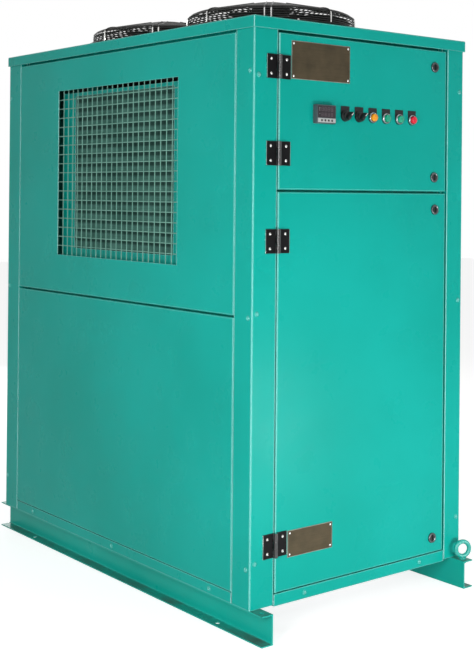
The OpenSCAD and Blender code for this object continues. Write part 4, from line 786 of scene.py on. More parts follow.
def controller():
    """Panel controller: case, bezel, dark window with unlit digits, key strip and rear terminals."""
    w, h = CASE_W / 2, CASE_H / 2
    window = FACE_PROUD - 1.4
    parts = [
        rounded_box((-w, -12.5, -h), (w, 0, h), 1.2),
        rounded_box((1 - w, 0.5 - FACE_PROUD, 0.6 - h), (w - 1, -11.5, h - 0.6), 1.6),
        rounded_box((-30, -FACE_PROUD, -9.5), (30.4, -window, 21), 0.5, finish=1),
        rounded_box((-30, -FACE_PROUD - 0.05, -21.4), (30.4, -window, -10.4), 0.5, finish=2),
        rounded_box((1.7 - w, 1.5, 1.7 - h), (w - 1.7, CASE_DEPTH, h - 1.7), 1.5, finish=3),
        rounded_box((-w, 1.5, -h), (w, 4.5, h), 0.8, finish=3),
    ]
    key = faced(screw_head(3.0, 0.6, finish=3), "front", (0, -FACE_PROUD, -16))
    parts += [repeated(key, [(x, 0, 0) for x in (-17.0, -5.2, 6.4, 17.8)])]
    bar = rounded_box((-2.6, -0.35, -0.5), (2.6, 0.0, 0.5), 0.15, 1, finish=4)
    post = rounded_box((-0.55, -0.35, -1.9), (0.55, 0.0, 1.9), 0.15, 1, finish=4)
    bars = [(0, 0, 4.6), (0, 0, 0), (0, 0, -4.6)]
    posts = [(sx * 3.2, 0, sz * 2.3) for sx in (-1, 1) for sz in (-1, 1)]
    for row_z, scale in ((12.6, 1.0), (-1.6, 0.86)):
        for i in range(4):
            at = np.array([i * 10.8 - 15.4, 0.15 - FACE_PROUD, row_z])
            for part, moves in ((bar, bars), (post, posts)):
                points, faces, finish = repeated(part, moves)
                parts += [(points * (scale, 1, scale) + at, faces, finish)]
    lamp = faced(screw_head(1.0, 0.3, finish=2), "front", (-24.6, 0.05 - FACE_PROUD, 0))
    parts += [repeated(lamp, [(0, 0, z) for z in (16, 12.6, 9.2, 0.6)])]
    screw = faced(screw_head(1.9, 0.8, 0.5, finish=5), "rear", (0, CASE_DEPTH - 0.1, 0))
    parts += [repeated(screw, [(x, 0, z) for x in (-24, 24) for z in (-17.5, -10.5, -3.5, 3.5, 10.5, 17.5)])]
    finishes = [slate, display_dark, pale_plastic, black_plastic, segment_dim, zinc]
    at = (CONTROL_X, FRONT_Y, SWITCH_Z)
    stands_for = ["temperature_controller"]
    piece("controller_face_and_case", parts, finishes, "control_door", stands_for, 21, at)


controller()


BEZEL = [(9.7, 0.9), (11.6, 0.9), (14.75, 1.2), (14.75, 2.4), (14.2, 4.6), (13.4, 6.2), (12.3, 7.2),
         (11.2, 7.1), (10.3, 6.4), (9.7, 5.6)]
BLOCK_FRONT, BLOCK_BACK, BLOCK_HALF = -596.0, -571.0, 15.0


def switch_bodies():
    """Bezels, barrels, ring nuts and contact blocks of the six switches; selectors have black bezels."""
    parts = []
    for i, x in enumerate(SWITCH_XS):
        at, rim = (x, FRONT_Y, SWITCH_Z), 1 if i < 2 else 0
        parts += [turned(BEZEL, at, "y", 40, True, rim)]
        parts += [sleeve(9.7, 11, -24, 1.3, at, "y", 24, 1), sleeve(11.05, 15.5, -4.5, -1.6, at, "y", 6, 2)]
        for half, tint in ((-1, 3), (1, 4)):
            x0, x1 = sorted((x + half * 0.3, x + half * BLOCK_HALF))
            z0, z1 = SWITCH_Z - BLOCK_HALF, SWITCH_Z + BLOCK_HALF
            parts += [rounded_box((x0, BLOCK_FRONT, z0), (x1, BLOCK_BACK, z1), 1.0, 1, 1)]
            inlay = (x0 + 3, BLOCK_FRONT + 6, z0 + 9), (x1 - 3, BLOCK_BACK + 0.6, z1 - 9)
            parts += [rounded_box(*inlay, 0.6, 1, tint)]
            screw = faced(screw_head(2.4, 0.9, 0.6, 16, 2), "rear", (x + half * 7.6, BLOCK_BACK - 0.1, 0))
            parts += [repeated(screw, [(0, 0, SWITCH_Z - 10.6), (0, 0, SWITCH_Z + 10.6)])]
    finishes = [chrome, black_plastic, zinc, green, red]
    piece("switch_bezels_and_blocks", parts, finishes, "control_door", ["control_bezels"])


switch_bodies()


def push_buttons():
    """Lens caps: plunger, rounded shoulder, a fine step and a shallow dome."""
    names = {"button_amber": amber, "button_green_1": green, "button_green_2": green, "button_red": red}
    profile = [(0, -19.6), (9.5, -19.6), (9.5, 11.0), (9.2, 12.0), (8.6, 12.4), (8.1, 12.2), (7.7, 12.5),
               (5.5, 13.0), (2.8, 13.2), (0, 13.2)]
    for i, (name, lens) in enumerate(names.items()):
        cap = turned(profile, (SWITCH_XS[i + 2], FRONT_Y, SWITCH_Z), "y", 40)
        piece(name + "_lens", [cap], [lens], name, [name], crease=60)


push_buttons()


KNOB_BASE = [(0, -19.6), (9.5, -19.6), (9.5, 7.6), (12.3, 7.6), (12.4, 8.4), (12.4, 12.2), (11.6, 13.4),
             (10.4, 13.9), (0, 13.9)]
GRIP_FOOT, GRIP_TAPER = 12.0, 0.022


def selector_knobs():
    """Selector: turned base, tapered grip laid 45 degrees over it, white line along the grip to its tip."""
    base = turned(KNOB_BASE, steps=40)
    points, faces, finish = rounded_box((-4.5, -11.9, GRIP_FOOT), (4.5, 11.9, 25.4), 2.2, 3)
    points[:, 0] *= 1 - GRIP_TAPER * (points[:, 2] - GRIP_FOOT)
    line = rounded_box((-0.9, 0.5, 25.1), (0.9, 10.2, 25.5), 0.15, 1, 1)
    tip = rounded_box((-0.9, 11.6, 15.0), (0.9, 12.05, 23.5), 0.15, 1, 1)
    over = [swung(p, -45) for p in ((points, faces, finish), line, tip)]
    for i in (0, 1):
        parts = [faced(p, "front", (SWITCH_XS[i], FRONT_Y, SWITCH_Z)) for p in [base, *over]]
        name, finishes = f"selector_knob_{i + 1}", [black_plastic, white_line]
        piece(name + "_grip", parts, finishes, f"selector_{i + 1}", [name])


selector_knobs()


# Switchgear on its plate

PLATE_Y = -450.0
GEAR_X, GEAR_Z, GEAR_W, GEAR_H = -283.0, 1141.5, 578.0, 326.5


def slotted_duct(x0, x1, z0, z1):
    """Wiring duct: back, lid and two combs of fingers along its longer side."""
    along = 0 if x1 - x0 > z1 - z0 else 2
    front = PLATE_Y - 60
    parts = [box_part((x0, PLATE_Y - 2, z0), (x1, PLATE_Y, z1), 1)]
    parts += [rounded_box((x0 - 0.4, front, z0 - 0.4), (x1 + 0.4, front + 8, z1 + 0.4), 0.8, 1, 1)]
    length = (x1 - x0) if along == 0 else (z1 - z0)
    starts = np.arange(2.0, length - 8, 10.0)
    for side in (0, 1):
        if along == 0:
            z = z0 if side == 0 else z1 - 1.6
            finger, step = box_part((x0, front + 4, z), (x0 + 6, PLATE_Y - 1, z + 1.6), 1), (1, 0, 0)
        else:
            x = x0 if side == 0 else x1 - 1.6
            finger, step = box_part((x, front + 4, z0), (x + 1.6, PLATE_Y - 1, z0 + 6), 1), (0, 0, 1)
        parts += [repeated(finger, np.outer(starts, step))]
    return parts


def stepped_device(x, z, width, height, depth, nose, body_finish, face_finish):
    """Rail-mounted device: low shoulders with screws above and below a raised nose."""
    back, front = PLATE_Y - 7, PLATE_Y - depth
    step, x0, x1 = front + 16, x + 0.3, x + width - 0.3
    parts = [
        rounded_box((x0, step, z - height / 2), (x1, back, z + height / 2), 0.8, 1, body_finish),
        rounded_box((x0, front, z - nose / 2), (x1, step + 3, z + nose / 2), 1.0, 1, face_finish),
    ]
    count = max(1, round(width / 15))
    xs = x + (np.arange(count) + 0.5) * width / count
    screw = faced(screw_head(3.0, 0.8, 0.7, 12, 4), "front", (0, step, 0))
    return parts + [repeated(screw, [(u, 0, z + s * (height / 2 - 8)) for u in xs for s in (-1, 1)])]


HAT_RAIL = np.array([(-17.5, 7), (-17.5, 6), (-12.5, 6), (-12.5, 0), (12.5, 0), (12.5, 6), (17.5, 6),
                     (17.5, 7), (11.5, 7), (11.5, 1), (-11.5, 1), (-11.5, 7)])
BREAKERS, BREAKER_W = 7, 18
CONTACTORS, CONTACTOR_W = 4, 45
TERMINALS, TERMINAL_W = 26, 8


def switchgear():
    """Plate, rails, ducts, breakers, contactors, terminals and their wires."""
    x0, x1, z0, z1 = GEAR_X, GEAR_X + GEAR_W, GEAR_Z, GEAR_Z + GEAR_H
    y, middle = PLATE_Y, z0 + GEAR_H / 2
    parts = [rounded_box((x0, y, z0), (x1, y + 2.5, z1), 0.6)]
    parts += slotted_duct(x0, x0 + 30, z0, z1) + slotted_duct(x1 - 30, x1, z0, z1)
    parts += slotted_duct(x0 + 31, x1 - 31, middle - 15, middle + 15)
    upper, lower = z0 + 0.78 * GEAR_H, z0 + 0.2 * GEAR_H
    for z in (upper, lower):
        rail = np.column_stack([y - HAT_RAIL[:, 1], z + HAT_RAIL[:, 0]])
        parts += [prism(rail, x0 + 34, x1 - 34, "x", 4)]
    first = x0 + 48
    for i in range(BREAKERS):
        x = first + i * BREAKER_W
        parts += stepped_device(x, upper, BREAKER_W, 84, 62, 45, 2, 2)
        parts += [rounded_box((x + 5, y - 66, upper - 5), (x + 13, y - 61, upper + 7), 1.2, 1, 3)]
    second = first + 11 * BREAKER_W
    for i in range(CONTACTORS):
        x = second + i * CONTACTOR_W
        parts += stepped_device(x, upper, CONTACTOR_W, 76, 66, 44, 3, 2)
        parts += [rounded_box((x + 16, y - 66.6, upper - 7), (x + 29, y - 64, upper + 7), 0.8, 1, 3)]
    for i in range(TERMINALS):
        x0, x1 = first + i * TERMINAL_W + 0.3, first + (i + 1) * TERMINAL_W - 0.3
        tint = 2 if i < 18 else 5 + i // 22
        parts += [rounded_box((x0, y - 34, lower - 22), (x1, y - 7, lower + 22), 0.6, 1, tint)]
        parts += [rounded_box((x0, y - 40, lower - 11), (x1, y - 33, lower + 11), 0.6, 1, tint)]
    screw = faced(screw_head(2.2, 0.5, 0.6, 12, 4), "front", (0, y - 34, 0))
    terminal_xs = first + (np.arange(TERMINALS) + 0.5) * TERMINAL_W
    parts += [repeated(screw, [(x, 0, lower + s * 16.5) for x in terminal_xs for s in (-1, 1)])]
    below, above = middle - 13, middle + 13
    wires = [(x, lower + 19, below, (3, 5, 7, 3)[i % 4]) for i, x in enumerate(terminal_xs)]
    wires += [(first + (i + 0.5) * BREAKER_W, upper - 40, above, 3) for i in range(BREAKERS)]
    phase_xs = second + (np.arange(3 * CONTACTORS) + 0.5) * CONTACTOR_W / 3
    wires += [(x, upper - 36, above, (3, 5, 7)[i % 3]) for i, x in enumerate(phase_xs)]
    for x, from_z, to_z, finish in wires:
        step = (to_z - from_z) / 3
        path = [(x, y - 30, from_z), (x, y - 39, from_z + step), (x, y - 36, to_z - step), (x, y - 26, to_z)]
        parts += [tube(bent_path(path, 9, 4), 1.5, 6, finish=finish)]
    finishes = [galvanised, pale_plastic, device_grey, black_plastic, zinc, pump_coat, earth_green, red]
    piece("switchgear_on_plate", parts, finishes, "cabinet", ["switchgear"])


switchgear()


# Fan motors, rotors and flange screws

MOTOR_R, HUB_PLATE_Z = 54.0, guard_z + GUARD_H - GUARD_WIRE - 3.0
ROTOR_HUB_R, ROTOR_TOP = 56.0, HUB_PLATE_Z - 26.3
BLADE_TIP_R = SHROUD_R - 8.0


def fan_motor(index, centre):
    """Outer-rotor motor: cap over the hub plate, ribbed body under it, shaft and four screws."""
    r = MOTOR_R
    cap = turned([(0, 3), (r, 3), (r, 4.4), (51, 5.8), (42, 6.6), (20, 7), (0, 7)], steps=64)
    body = turned([(0, -26), (50, -26), (r - 1.5, -23.5), (r - 1.5, -0.2), (0, -0.2)], steps=64)
    fin = box_part((49, -0.9, -25), (r, 0.9, -1))
    fins = [swung(fin, a) for a in np.arange(0, 360, 7.5)]
    shaft = turned([(0, -82), (8.2, -82), (9, -81), (9, -25), (0, -25)], steps=24, finish=1)
    screw = screw_head(3.2, 1.2, 0.9, finish=1)
    turns = np.arange(4) * TURN / 4 + 0.4
    screws = [shifted(screw, (61 * math.cos(a), 61 * math.sin(a), 2.9)) for a in turns]
    parts = [cap, rod(39.5, 0, 3.2), body, *fins, shaft, *screws]
    stands_for, at = ["fan_motors"] if index == 0 else [], (*centre[:2], HUB_PLATE_Z)
    piece(f"fan_motor_{index + 1}", parts, [black_coat, zinc], "cabinet", stands_for, at=at)


def fan_rotor(name, centre):
    """Five sickle blades on a hub: at share s out, a thin aerofoil loop spans an angle about a swept line.

    Point = (r cos a, r sin a, h); r = hub to tip in s, a = sweep s^2 + chord angle (c - 1/2),
    h falls with c by the blade's pitch, and the loop's thickness is T c (1 - c)."""
    s = np.linspace(0, 1, 11)[:, None]
    c = np.concatenate([np.linspace(0, 1, 11), np.linspace(1, 0, 11)[1:-1]])[None, :]
    top_side = np.concatenate([np.ones(11), -np.ones(9)])[None, :]
    r = 50 + s * (BLADE_TIP_R - 50)
    a = np.radians(-10 + 20 * s**2) + np.radians(58 - 10 * s) * (c - 0.5)
    height = 5.0 * np.sin(np.pi * c) - 35 + (0.5 - c) * (34 - 8 * s) + top_side * (1.0 + 4.2 * c * (1 - c))
    grid = np.stack([r * np.cos(a), r * np.sin(a), height + 0 * r], -1)
    root, tip = (row.mean(1, keepdims=True) + 0 * row for row in (grid[:1], grid[-1:]))
    grid = np.vstack([root, grid, tip])
    blade = (grid.reshape(-1, 3), grid_faces(grid.shape[0], grid.shape[1], False, True), 0)
    wall = ROTOR_HUB_R
    profile = [(9.1, 0), (50, 0), (54.5, -1.5), (wall, -5), (wall, -56), (52, -60), (20, -60), (9.1, -58)]
    parts = [turned(profile, steps=64, ring=True), *[swung(blade, i * 72) for i in range(5)]]
    body, at = name.replace("rotor_", ""), (*centre[:2], ROTOR_TOP)
    piece(name + "_sickle", parts, [black_coat], body, [name], at=at)


for fan_index, fan_centre in enumerate(fan_centres):
    fan_motor(fan_index, fan_centre)
    fan_rotor(("fan_rotor_front", "fan_rotor_rear")[fan_index], fan_centre)
GUARD_SCREW = screw_head(5.0, 3.0, 1.4)
SHROUD_SCREW = screw_head(4.4, 2.6, 1.2)
SHROUD_SCREW_Z = 1528.0
flange_heads = []
for fan_centre in fan_centres:
    for turn in np.arange(8) * TURN / 8 + TURN / 16:
        for head, out, z in ((GUARD_SCREW, 249.5, guard_z), (SHROUD_SCREW, 248.5, SHROUD_SCREW_Z)):
            flange_heads += [shifted(head, (math.cos(turn) * out, fan_centre[1] + math.sin(turn) * out, z))]
piece("fan_flange_screws", flange_heads, [zinc], "cabinet")


# Condenser coils

COIL_OUT, COIL_IN = 354.5, 277.5
FIN_Y0, FIN_Y1, FIN_Z0, FIN_Z1 = -252.0, 260.0, 922.0, 1378.0
GAS_Y, LIQUID_Y, HEADER_X = 282.0, -274.0, 316.0
HEADER_TOP, HEADER_FOOT = 1389.0, 885.0
FIN_PITCH, TUBE_PITCH, TUBE_R = 2.9, 25.4, 4.8


def coils():
    """Fin packs of thin upright plates on copper tubes, return bends and the two headers of each coil."""
    parts = []
    ys = np.arange(FIN_Y0 + 0.2, FIN_Y1, FIN_PITCH)
    rows = np.arange(FIN_Z0 + 13, FIN_Z1 - 8, TUBE_PITCH)
    low, high = FIN_Z0 + 14, FIN_Z1 - 14
    for side in (-1, 1):
        x0, x1 = sorted((side * COIL_OUT, side * COIL_IN))
        parts += [repeated(box_part((x0, 0, FIN_Z0), (x1, 0.5, FIN_Z1)), [(0, y, 0) for y in ys])]
        columns = side * np.array([COIL_IN + 12, HEADER_X, COIL_OUT - 12])
        straight = tube([(0, FIN_Y0 - 4, 0), (0, FIN_Y1 + 4, 0)], TUBE_R, 8, finish=1)
        shift = np.array([0, TUBE_PITCH / 2, 0])
        parts += [repeated(straight, [(x, 0, z + dz) for x, dz in zip(columns, shift) for z in rows[:-1]])]
        t = np.linspace(0, math.pi, 7)
        for y, out in ((FIN_Y1 + 3, 1), (FIN_Y0 - 3, -1)):
            bow = np.stack([0 * t, y + out * shift[1] * np.sin(t), -shift[1] * np.cos(t)], -1)
            bend = tube(bow, TUBE_R, 8, finish=1)
            first = rows[0 if out > 0 else 1 : -2 : 2] + shift[1]
            parts += [repeated(bend, [(x, 0, z) for x in columns[[0, 2]] for z in first])]
        for y, radius in ((GAS_Y, 11.0), (LIQUID_Y, 8.0)):
            x = side * HEADER_X
            header = [(0, low - 3), (9, low - 1.5), (14, low + 3)]
            header += [(14, high - 3), (9, high + 1.5), (0, high + 3)]
            parts += [turned(header, (x, y, 0), steps=28, finish=1)]
            end = (high, HEADER_TOP) if y > 0 else (HEADER_FOOT, low)
            parts += [tube([(x, y, end[0]), (x, y, end[1])], radius, 20, finish=1)]
            reach = (FIN_Y1, GAS_Y) if y > 0 else (LIQUID_Y, FIN_Y0)
            feeder = tube([(x, reach[0], 0), (x, reach[1], 0)], 5, 10, finish=1)
            parts += [repeated(feeder, [(0, 0, low + (i + 0.5) * (high - low) / 6) for i in range(6)])]
    piece("coils_fins_and_tubes", parts, [fin_metal, copper], "cabinet", ["condenser_coils"])


coils()


# Machine room

COMP = (-145.2, -190.3)
COMP_Z, COMP_TOP = 127.0, 562.0
WATER_X, TANK_X, TANK_Y = 220.4, -68.4, 309.9
PORT_X, LOW_PORT_Z, HIGH_PORT_Z = 171.8, 159.0, 540.0
TANK_LOW_Z, TANK_HIGH_Z = 214.0, 641.8
PRESSED_W, PRESSED_H = 49.0, 216.0


def compressor():
    """Welded shell with domed ends, foot plate, terminal cover, service fittings and sight glass."""
    z, top, r = COMP_Z, COMP_TOP, 95.0
    foot, dome = arc(30, r - 30, z + 34, False), arc(40, r - 40, top - 40, True)
    seam = [(r, z + 92), (r + 1.6, z + 94), (r + 1.6, z + 98), (r, z + 100)]
    upper_seam = [(r, top - 78), (r + 1.8, top - 75), (r + 1.8, top - 71), (r, top - 68)]
    screw = faced(screw_head(3.4, 1.6, 1.1, finish=2), "left", (-121.1, 0, 0))
    glass = turned([(0, 90), (15, 90), (15, 99), (11, 101), (0, 101)], (0, 0, 0), "y", 24, False, 2)
    rib = [(r - 4, z + 296), (r + 0.9, z + 297), (r + 0.9, z + 301), (r - 4, z + 302)]
    parts = [
        turned([(0, z + 4), *foot, *seam, *upper_seam, *dome, (20, top), (0, top)], steps=72),
        rounded_box((-115, -115, z), (115, 115, z + 5), 1.5),
        rounded_box((-121, -35, z + 215), (-84, 35, z + 305), 5, 3),
        rounded_box((-121.2, -37, z + 213), (-113, 37, z + 307), 3, 2, 1),
        repeated(screw, [(0, s, z + 260 + t) for s, t in ((-28, 38), (28, -38))]),
        turned([(0, 90), (17, 90), (17, 108), (14, 110), (0, 110)], (0, 0, 299), "y", 28),
        turned([(0, top - 2), (19, top - 2), (19, top + 8), (15, top + 11), (0, top + 11)], steps=28),
        shifted(swung(glass, 35), (0, 0, z + 70)),
        turned(rib, steps=72, ring=True),
    ]
    finishes = [stove_coat, black_plastic, zinc]
    piece("compressor_shell", parts, finishes, "cabinet", ["compressor"], at=(*COMP, 0))
    pad = [(7, 102), (18, 102), (18, 106), (14, 110), (14, 119), (18, 123), (18, 126.9), (7, 126.9)]
    mount = [turned(pad, ring=True), rod(16, 132, 134, steps=24, finish=1)]
    mount += [rod(9, 134, 141, steps=6, finish=1), rod(5, 102.5, 146, steps=16, finish=1)]
    parts = [shifted(p, (x, y, 0)) for p in mount for x in (-92, 92) for y in (-92, 92)]
    finishes, stands_for = [rubber, zinc], ["compressor_mounts"]
    piece("compressor_rubber_mounts", parts, finishes, "cabinet", stands_for, at=(*COMP, 0))


compressor()


def round_corner_outline(x0, z0, x1, z1, r, steps=5):
    """Rectangle with quarter-circle corners."""
    t = np.linspace(0, math.pi / 2, steps)
    corners = [(x1 - r, z1 - r), (x0 + r, z1 - r), (x0 + r, z0 + r), (x1 - r, z0 + r)]
    runs = []
    for i, (x, z) in enumerate(corners):
        a = t + i * math.pi / 2
        runs += [np.column_stack([x + r * np.cos(a), z + r * np.sin(a)])]
    return np.vstack(runs)


def evaporator():
    """Brazed plate pack between two thick covers; the front cover is pressed in a herringbone.

    Pressed sheet: y = face - 2.6 w, w a triangle wave of 10.5 v + 2.4 |u| with u and v the shares of its
    half width and half height; it is flat at its rim and ports."""
    x0, x1, y0, y1, z0, z1 = 139.8, 249.8, -289.9, -209.9, 127.0, 572.0
    outline = round_corner_outline(x0, z0, x1, z1, 18)
    inner = round_corner_outline(x0 + 2.5, z0 + 2.5, x1 - 2.5, z1 - 2.5, 16)
    parts = [prism(outline, y0 + 3, y0 + 6), prism(outline, y1 - 4, y1), prism(inner, y0 + 5, y1 - 3)]
    rim = prism(outline, 0, 1.6)
    parts += [repeated(rim, [(0, y, 0) for y in np.arange(y0 + 8, y1 - 5, 3.1)])]
    u, v = np.linspace(-1, 1, 33), np.linspace(-1, 1, 141)
    gu, gv = np.meshgrid(u, v)
    wave = abs(((gv * 10.5 + abs(gu) * 2.4) % 1) * 2 - 1)
    ports = [(a, b) for a in (-0.42, 0.42) for b in (-0.86, 0.86)]
    port = np.min([np.hypot((gu - a) * PRESSED_W, (gv - b) * PRESSED_H) for a, b in ports], axis=0)
    rim_fade = np.clip((1 - abs(gu)) * 12, 0, 1) * np.clip((1 - abs(gv)) * 45, 0, 1)
    face = y0 + 3 - 0.2 - 2.6 * wave * rim_fade * np.clip((port - 20) / 4, 0, 1)
    sheet = np.stack([(x0 + x1) / 2 + gu * PRESSED_W, face, (z0 + z1) / 2 + gv * PRESSED_H], -1)
    back = sheet.copy()
    back[..., 1] = y0 + 5
    points = np.stack([sheet, back]).reshape(2, -1, 3)
    rows, columns = gu.shape
    grid = grid_faces(rows, columns)
    n = rows * columns
    right, left = np.arange(2, rows) * columns - 1, np.arange(rows - 2, 0, -1) * columns
    edge = np.concatenate([np.arange(columns), right, n - 1 - np.arange(columns), left])
    following = np.roll(edge, -1)
    walls = np.stack([edge, following, following + n, edge + n], -1)
    parts += [(points.reshape(-1, 3), np.vstack([grid, grid + n, walls]), 0)]
    for z in (LOW_PORT_Z, HIGH_PORT_Z):
        parts += [turned([(0, -2), (15, -2), (15, 18), (13, 22), (0, 22)], (PORT_X, y0, z), "y", 28)]
        parts += [turned([(0, -22), (22, -22), (25, -18), (25, 4), (0, 4)], (WATER_X, y1, z), "y", 32)]
    y0, y1 = y0 - 4, y1 + 4
    parts += [
        box_part((x0 - 4, y0, 102), (x1 + 4, y1, 105), 1),
        box_part((x0 - 4, y0, 104), (x0 - 0.5, y1, 168), 1),
        box_part((x1 + 0.5, y0, 104), (x1 + 4, y1, 168), 1),
        box_part((x0 + 12, y0 + 12, 104), (x1 - 12, y1 - 12, 127), 1),
    ]
    piece("evaporator_plates", parts, [stainless, galvanised], "cabinet", ["plate_evaporator"])


evaporator()


def water_tank():
    """Rolled tank with pressed ends, weld beads, an upright seam, bosses and four legs with pads."""
    r, z, top, bead = 190.0, 127.0, 686.8, 191.4
    seams = [(r, z + 58), (bead, z + 60), (bead, z + 63), (r, z + 65)]
    seams += [(r, top - 65), (bead, top - 63), (bead, top - 60), (r, top - 58)]
    low_end, high_end = arc(45, r - 45, z + 45, False), arc(45, r - 45, top - 45, True)
    parts = [turned([(0, z), *low_end, *seams, *high_end, (0, top)], steps=96)]
    for port_z in (TANK_LOW_Z, TANK_HIGH_Z):
        parts += [turned([(0, 180), (25, 180), (25, 202), (23, 204), (0, 204)], (0, 0, port_z), "x", 32)]
    leg = [rod(14, 104, 172, (162, 0, 0), steps=20), rod(24, 102, 105, (162, 0, 0), steps=28)]
    parts += [swung(p, 45 + 90 * i) for p in leg for i in range(4)]
    parts += [swung(rounded_box((-2.5, -191.2, z + 60), (2.5, -188, top - 60), 1.2), -25)]
    piece("tank_shell", parts, [stainless], "cabinet", ["water_tank"], at=(TANK_X, TANK_Y, 0))


water_tank()


PUMP_Z, PUMP_PORT_Y = 200.0, 140.1


def pump():
    """Close-coupled pump: finned motor, cowl with air slots, terminal box, volute with bolts and ports."""
    t = np.linspace(0, TURN, 241)[:-1]
    fin_r = 55.0 + 7.5 * np.clip(3 * np.cos(30 * t) + 0.4, 0, 1)
    cowl = [(0, 109.8), (40, 109.8), (56, 107), (63, 100), (64, 90), (64, 62), (62, 60), (0, 60)]
    slot = box_part((-2, -110.4, 14), (2, -109.0, 46), 2)
    flange = [(0, -100), (60, -100), (66, -96), (66, -84), (58, -80), (0, -80)]
    volute = [(0, -180), (34, -180), (60, -177), (72, -168), (78, -158), (78, -114), (72, -104), (60, -100)]
    volute += [(0, -99)]
    ring = [(60, -112), (78, -112), (78, -108), (78, -104), (60, -104)]
    bolt = faced(rod(5.5, 0, 4.5, steps=6, finish=1), "front", (0, 104, 0))
    angles = np.arange(8) * TURN / 8 + 0.2
    screw = screw_head(4.0, 3.0, 1.5, finish=1)
    origin = (0, 0, 0)
    parts = [
        prism(np.column_stack([fin_r * np.cos(t), fin_r * np.sin(t)]), -66, 88),
        turned(cowl, origin, "y", 56),
        *[swung(slot, i * 22.5, axis="Y") for i in range(16)],
        turned(flange, origin, "y", 56),
        turned(volute, origin, "y", 64),
        turned(ring, origin, "y", 64, True),
        *[shifted(bolt, (69 * math.cos(a), 0, 69 * math.sin(a))) for a in angles],
        turned([(0, 62), (25, 62), (25, 80), (23, 82), (0, 82)], (0, PUMP_PORT_Y, 0)),
        rounded_box((-28, -30, 50), (28, 42, 88), 4, 2),
        rounded_box((-30, -32, 80), (30, 44, 85), 2, 1),
        rounded_box((-44, -70, -98), (44, 64, -93), 1.5, 1),
        box_part((-32, -60, -94), (-27, 54, -42)),
        box_part((27, -60, -94), (32, 54, -42)),
        box_part((-30, -20, -94), (30, -14, -50)),
        repeated(screw, [(x, y, -93) for x in (-38, 38) for y in (-60, 54)]),
    ]
    finishes, at = [pump_coat, zinc, black_plastic], (WATER_X, 0, PUMP_Z)
    piece("pump_and_motor", parts, finishes, "cabinet", ["water_pump"], at=at)


pump()


BRAZED_SOCKET = [(9, 0), (12.8, 1), (12.8, 19), (9, 20)]
DRIER = [(0, -22), (11, -22), (11, -8), (20, 0), (33, 8), (34, 14), (34, 136), (33, 142), (20, 150),
         (11, 158), (11, 172), (0, 172)]
DRIER_X, DRIER_Y, DRIER_Z = 31.3, -401.9, 342.0


def copper_lines():
    """Suction, hot gas and liquid lines bent from tube, brazed tees and sockets, and the filter drier."""
    x, y = COMP
    lane, front, gas_z, liquid_z = -333.9, -311.9, 1425.0, 839.0
    high, low, out = HIGH_PORT_Z, LOW_PORT_Z, HEADER_X
    suction = [(PORT_X, front, high), (PORT_X, lane, high), (x, lane, high), (x, lane, 299), (x, -285.3, 299)]
    rise = [(x, y, gas_z - 60), (x, y, gas_z), (x, GAS_Y, gas_z), (out, GAS_Y, gas_z)]
    rise += [(out, GAS_Y, HEADER_TOP)]
    branch = [(x, GAS_Y, gas_z), (-out, GAS_Y, gas_z), (-out, GAS_Y, HEADER_TOP)]
    ends = [(-out, LIQUID_Y, HEADER_FOOT), (-out, LIQUID_Y, liquid_z)]
    ends += [(out, LIQUID_Y, liquid_z), (out, LIQUID_Y, HEADER_FOOT)]
    liquid = [(DRIER_X, LIQUID_Y, liquid_z), (DRIER_X, DRIER_Y, liquid_z), (DRIER_X, DRIER_Y, low)]
    liquid += [(PORT_X, DRIER_Y, low), (PORT_X, front, low)]
    # Black rubber on the upper hot gas runs and their tee: a dark part put there as painted shade for the
    # dark gap above the coils.
    lines = [(11, 34, suction, 0), (11, 40, [(x, y, COMP_TOP), (x, y, gas_z - 60)], 0), (11, 40, rise, 1),
             (11, 40, branch, 1), (8, 30, ends, 0), (8, 30, liquid, 0)]
    parts = [tube(bent_path(path, bend, 8), r, 16, finish=black_for_shade) for r, bend, path, black_for_shade in lines]
    for at, r, black_for_shade in (((x, GAS_Y, gas_z), 12.6, 1), ((DRIER_X, LIQUID_Y, liquid_z), 9.6, 0)):
        parts += [turned([(r - 3, -24), (r, -23), (r, 23), (r - 3, 24)], at, "x", 20, True, black_for_shade)]
    for line_y, z in ((y, 600.0), (y, 980.0), (y, 1180.0), (lane, 360.0), (lane, 470.0)):
        parts += [turned(BRAZED_SOCKET, (x, line_y, z), "z", 20, True)]
    piece("copper_lines", parts, [copper, rubber], "cabinet", ["refrigerant_pipes"])
    at = (DRIER_X, DRIER_Y, DRIER_Z)
    drier = [turned(DRIER, at, steps=40)]
    drier += [sleeve(30, 34.8, 60, 90, at, "z", 40, 1)]
    piece("filter_drier", drier, [drier_coat, pale_plastic], "cabinet")


copper_lines()


COLLAR = [(19, -17), (24.5, -16), (24.5, 16), (19, 17)]
UNION_NUT = [(20, -14), (30, -13), (30, 13), (20, 14)]
SOCKET = [(19.5, -662), (25, -662), (27, -660), (27, -612), (25, -610), (0, -610), (0, -614), (19.5, -614)]
THREAD = [(radius, -660 + i * 1.2) for i in range(30) for radius in (19.4, 18.6)]
GLAND_NUT = [(10, -648.5), (19, -648.5), (19, -654), (16, -660), (13, -662), (10, -662)]
GLAND_Z = 741.7


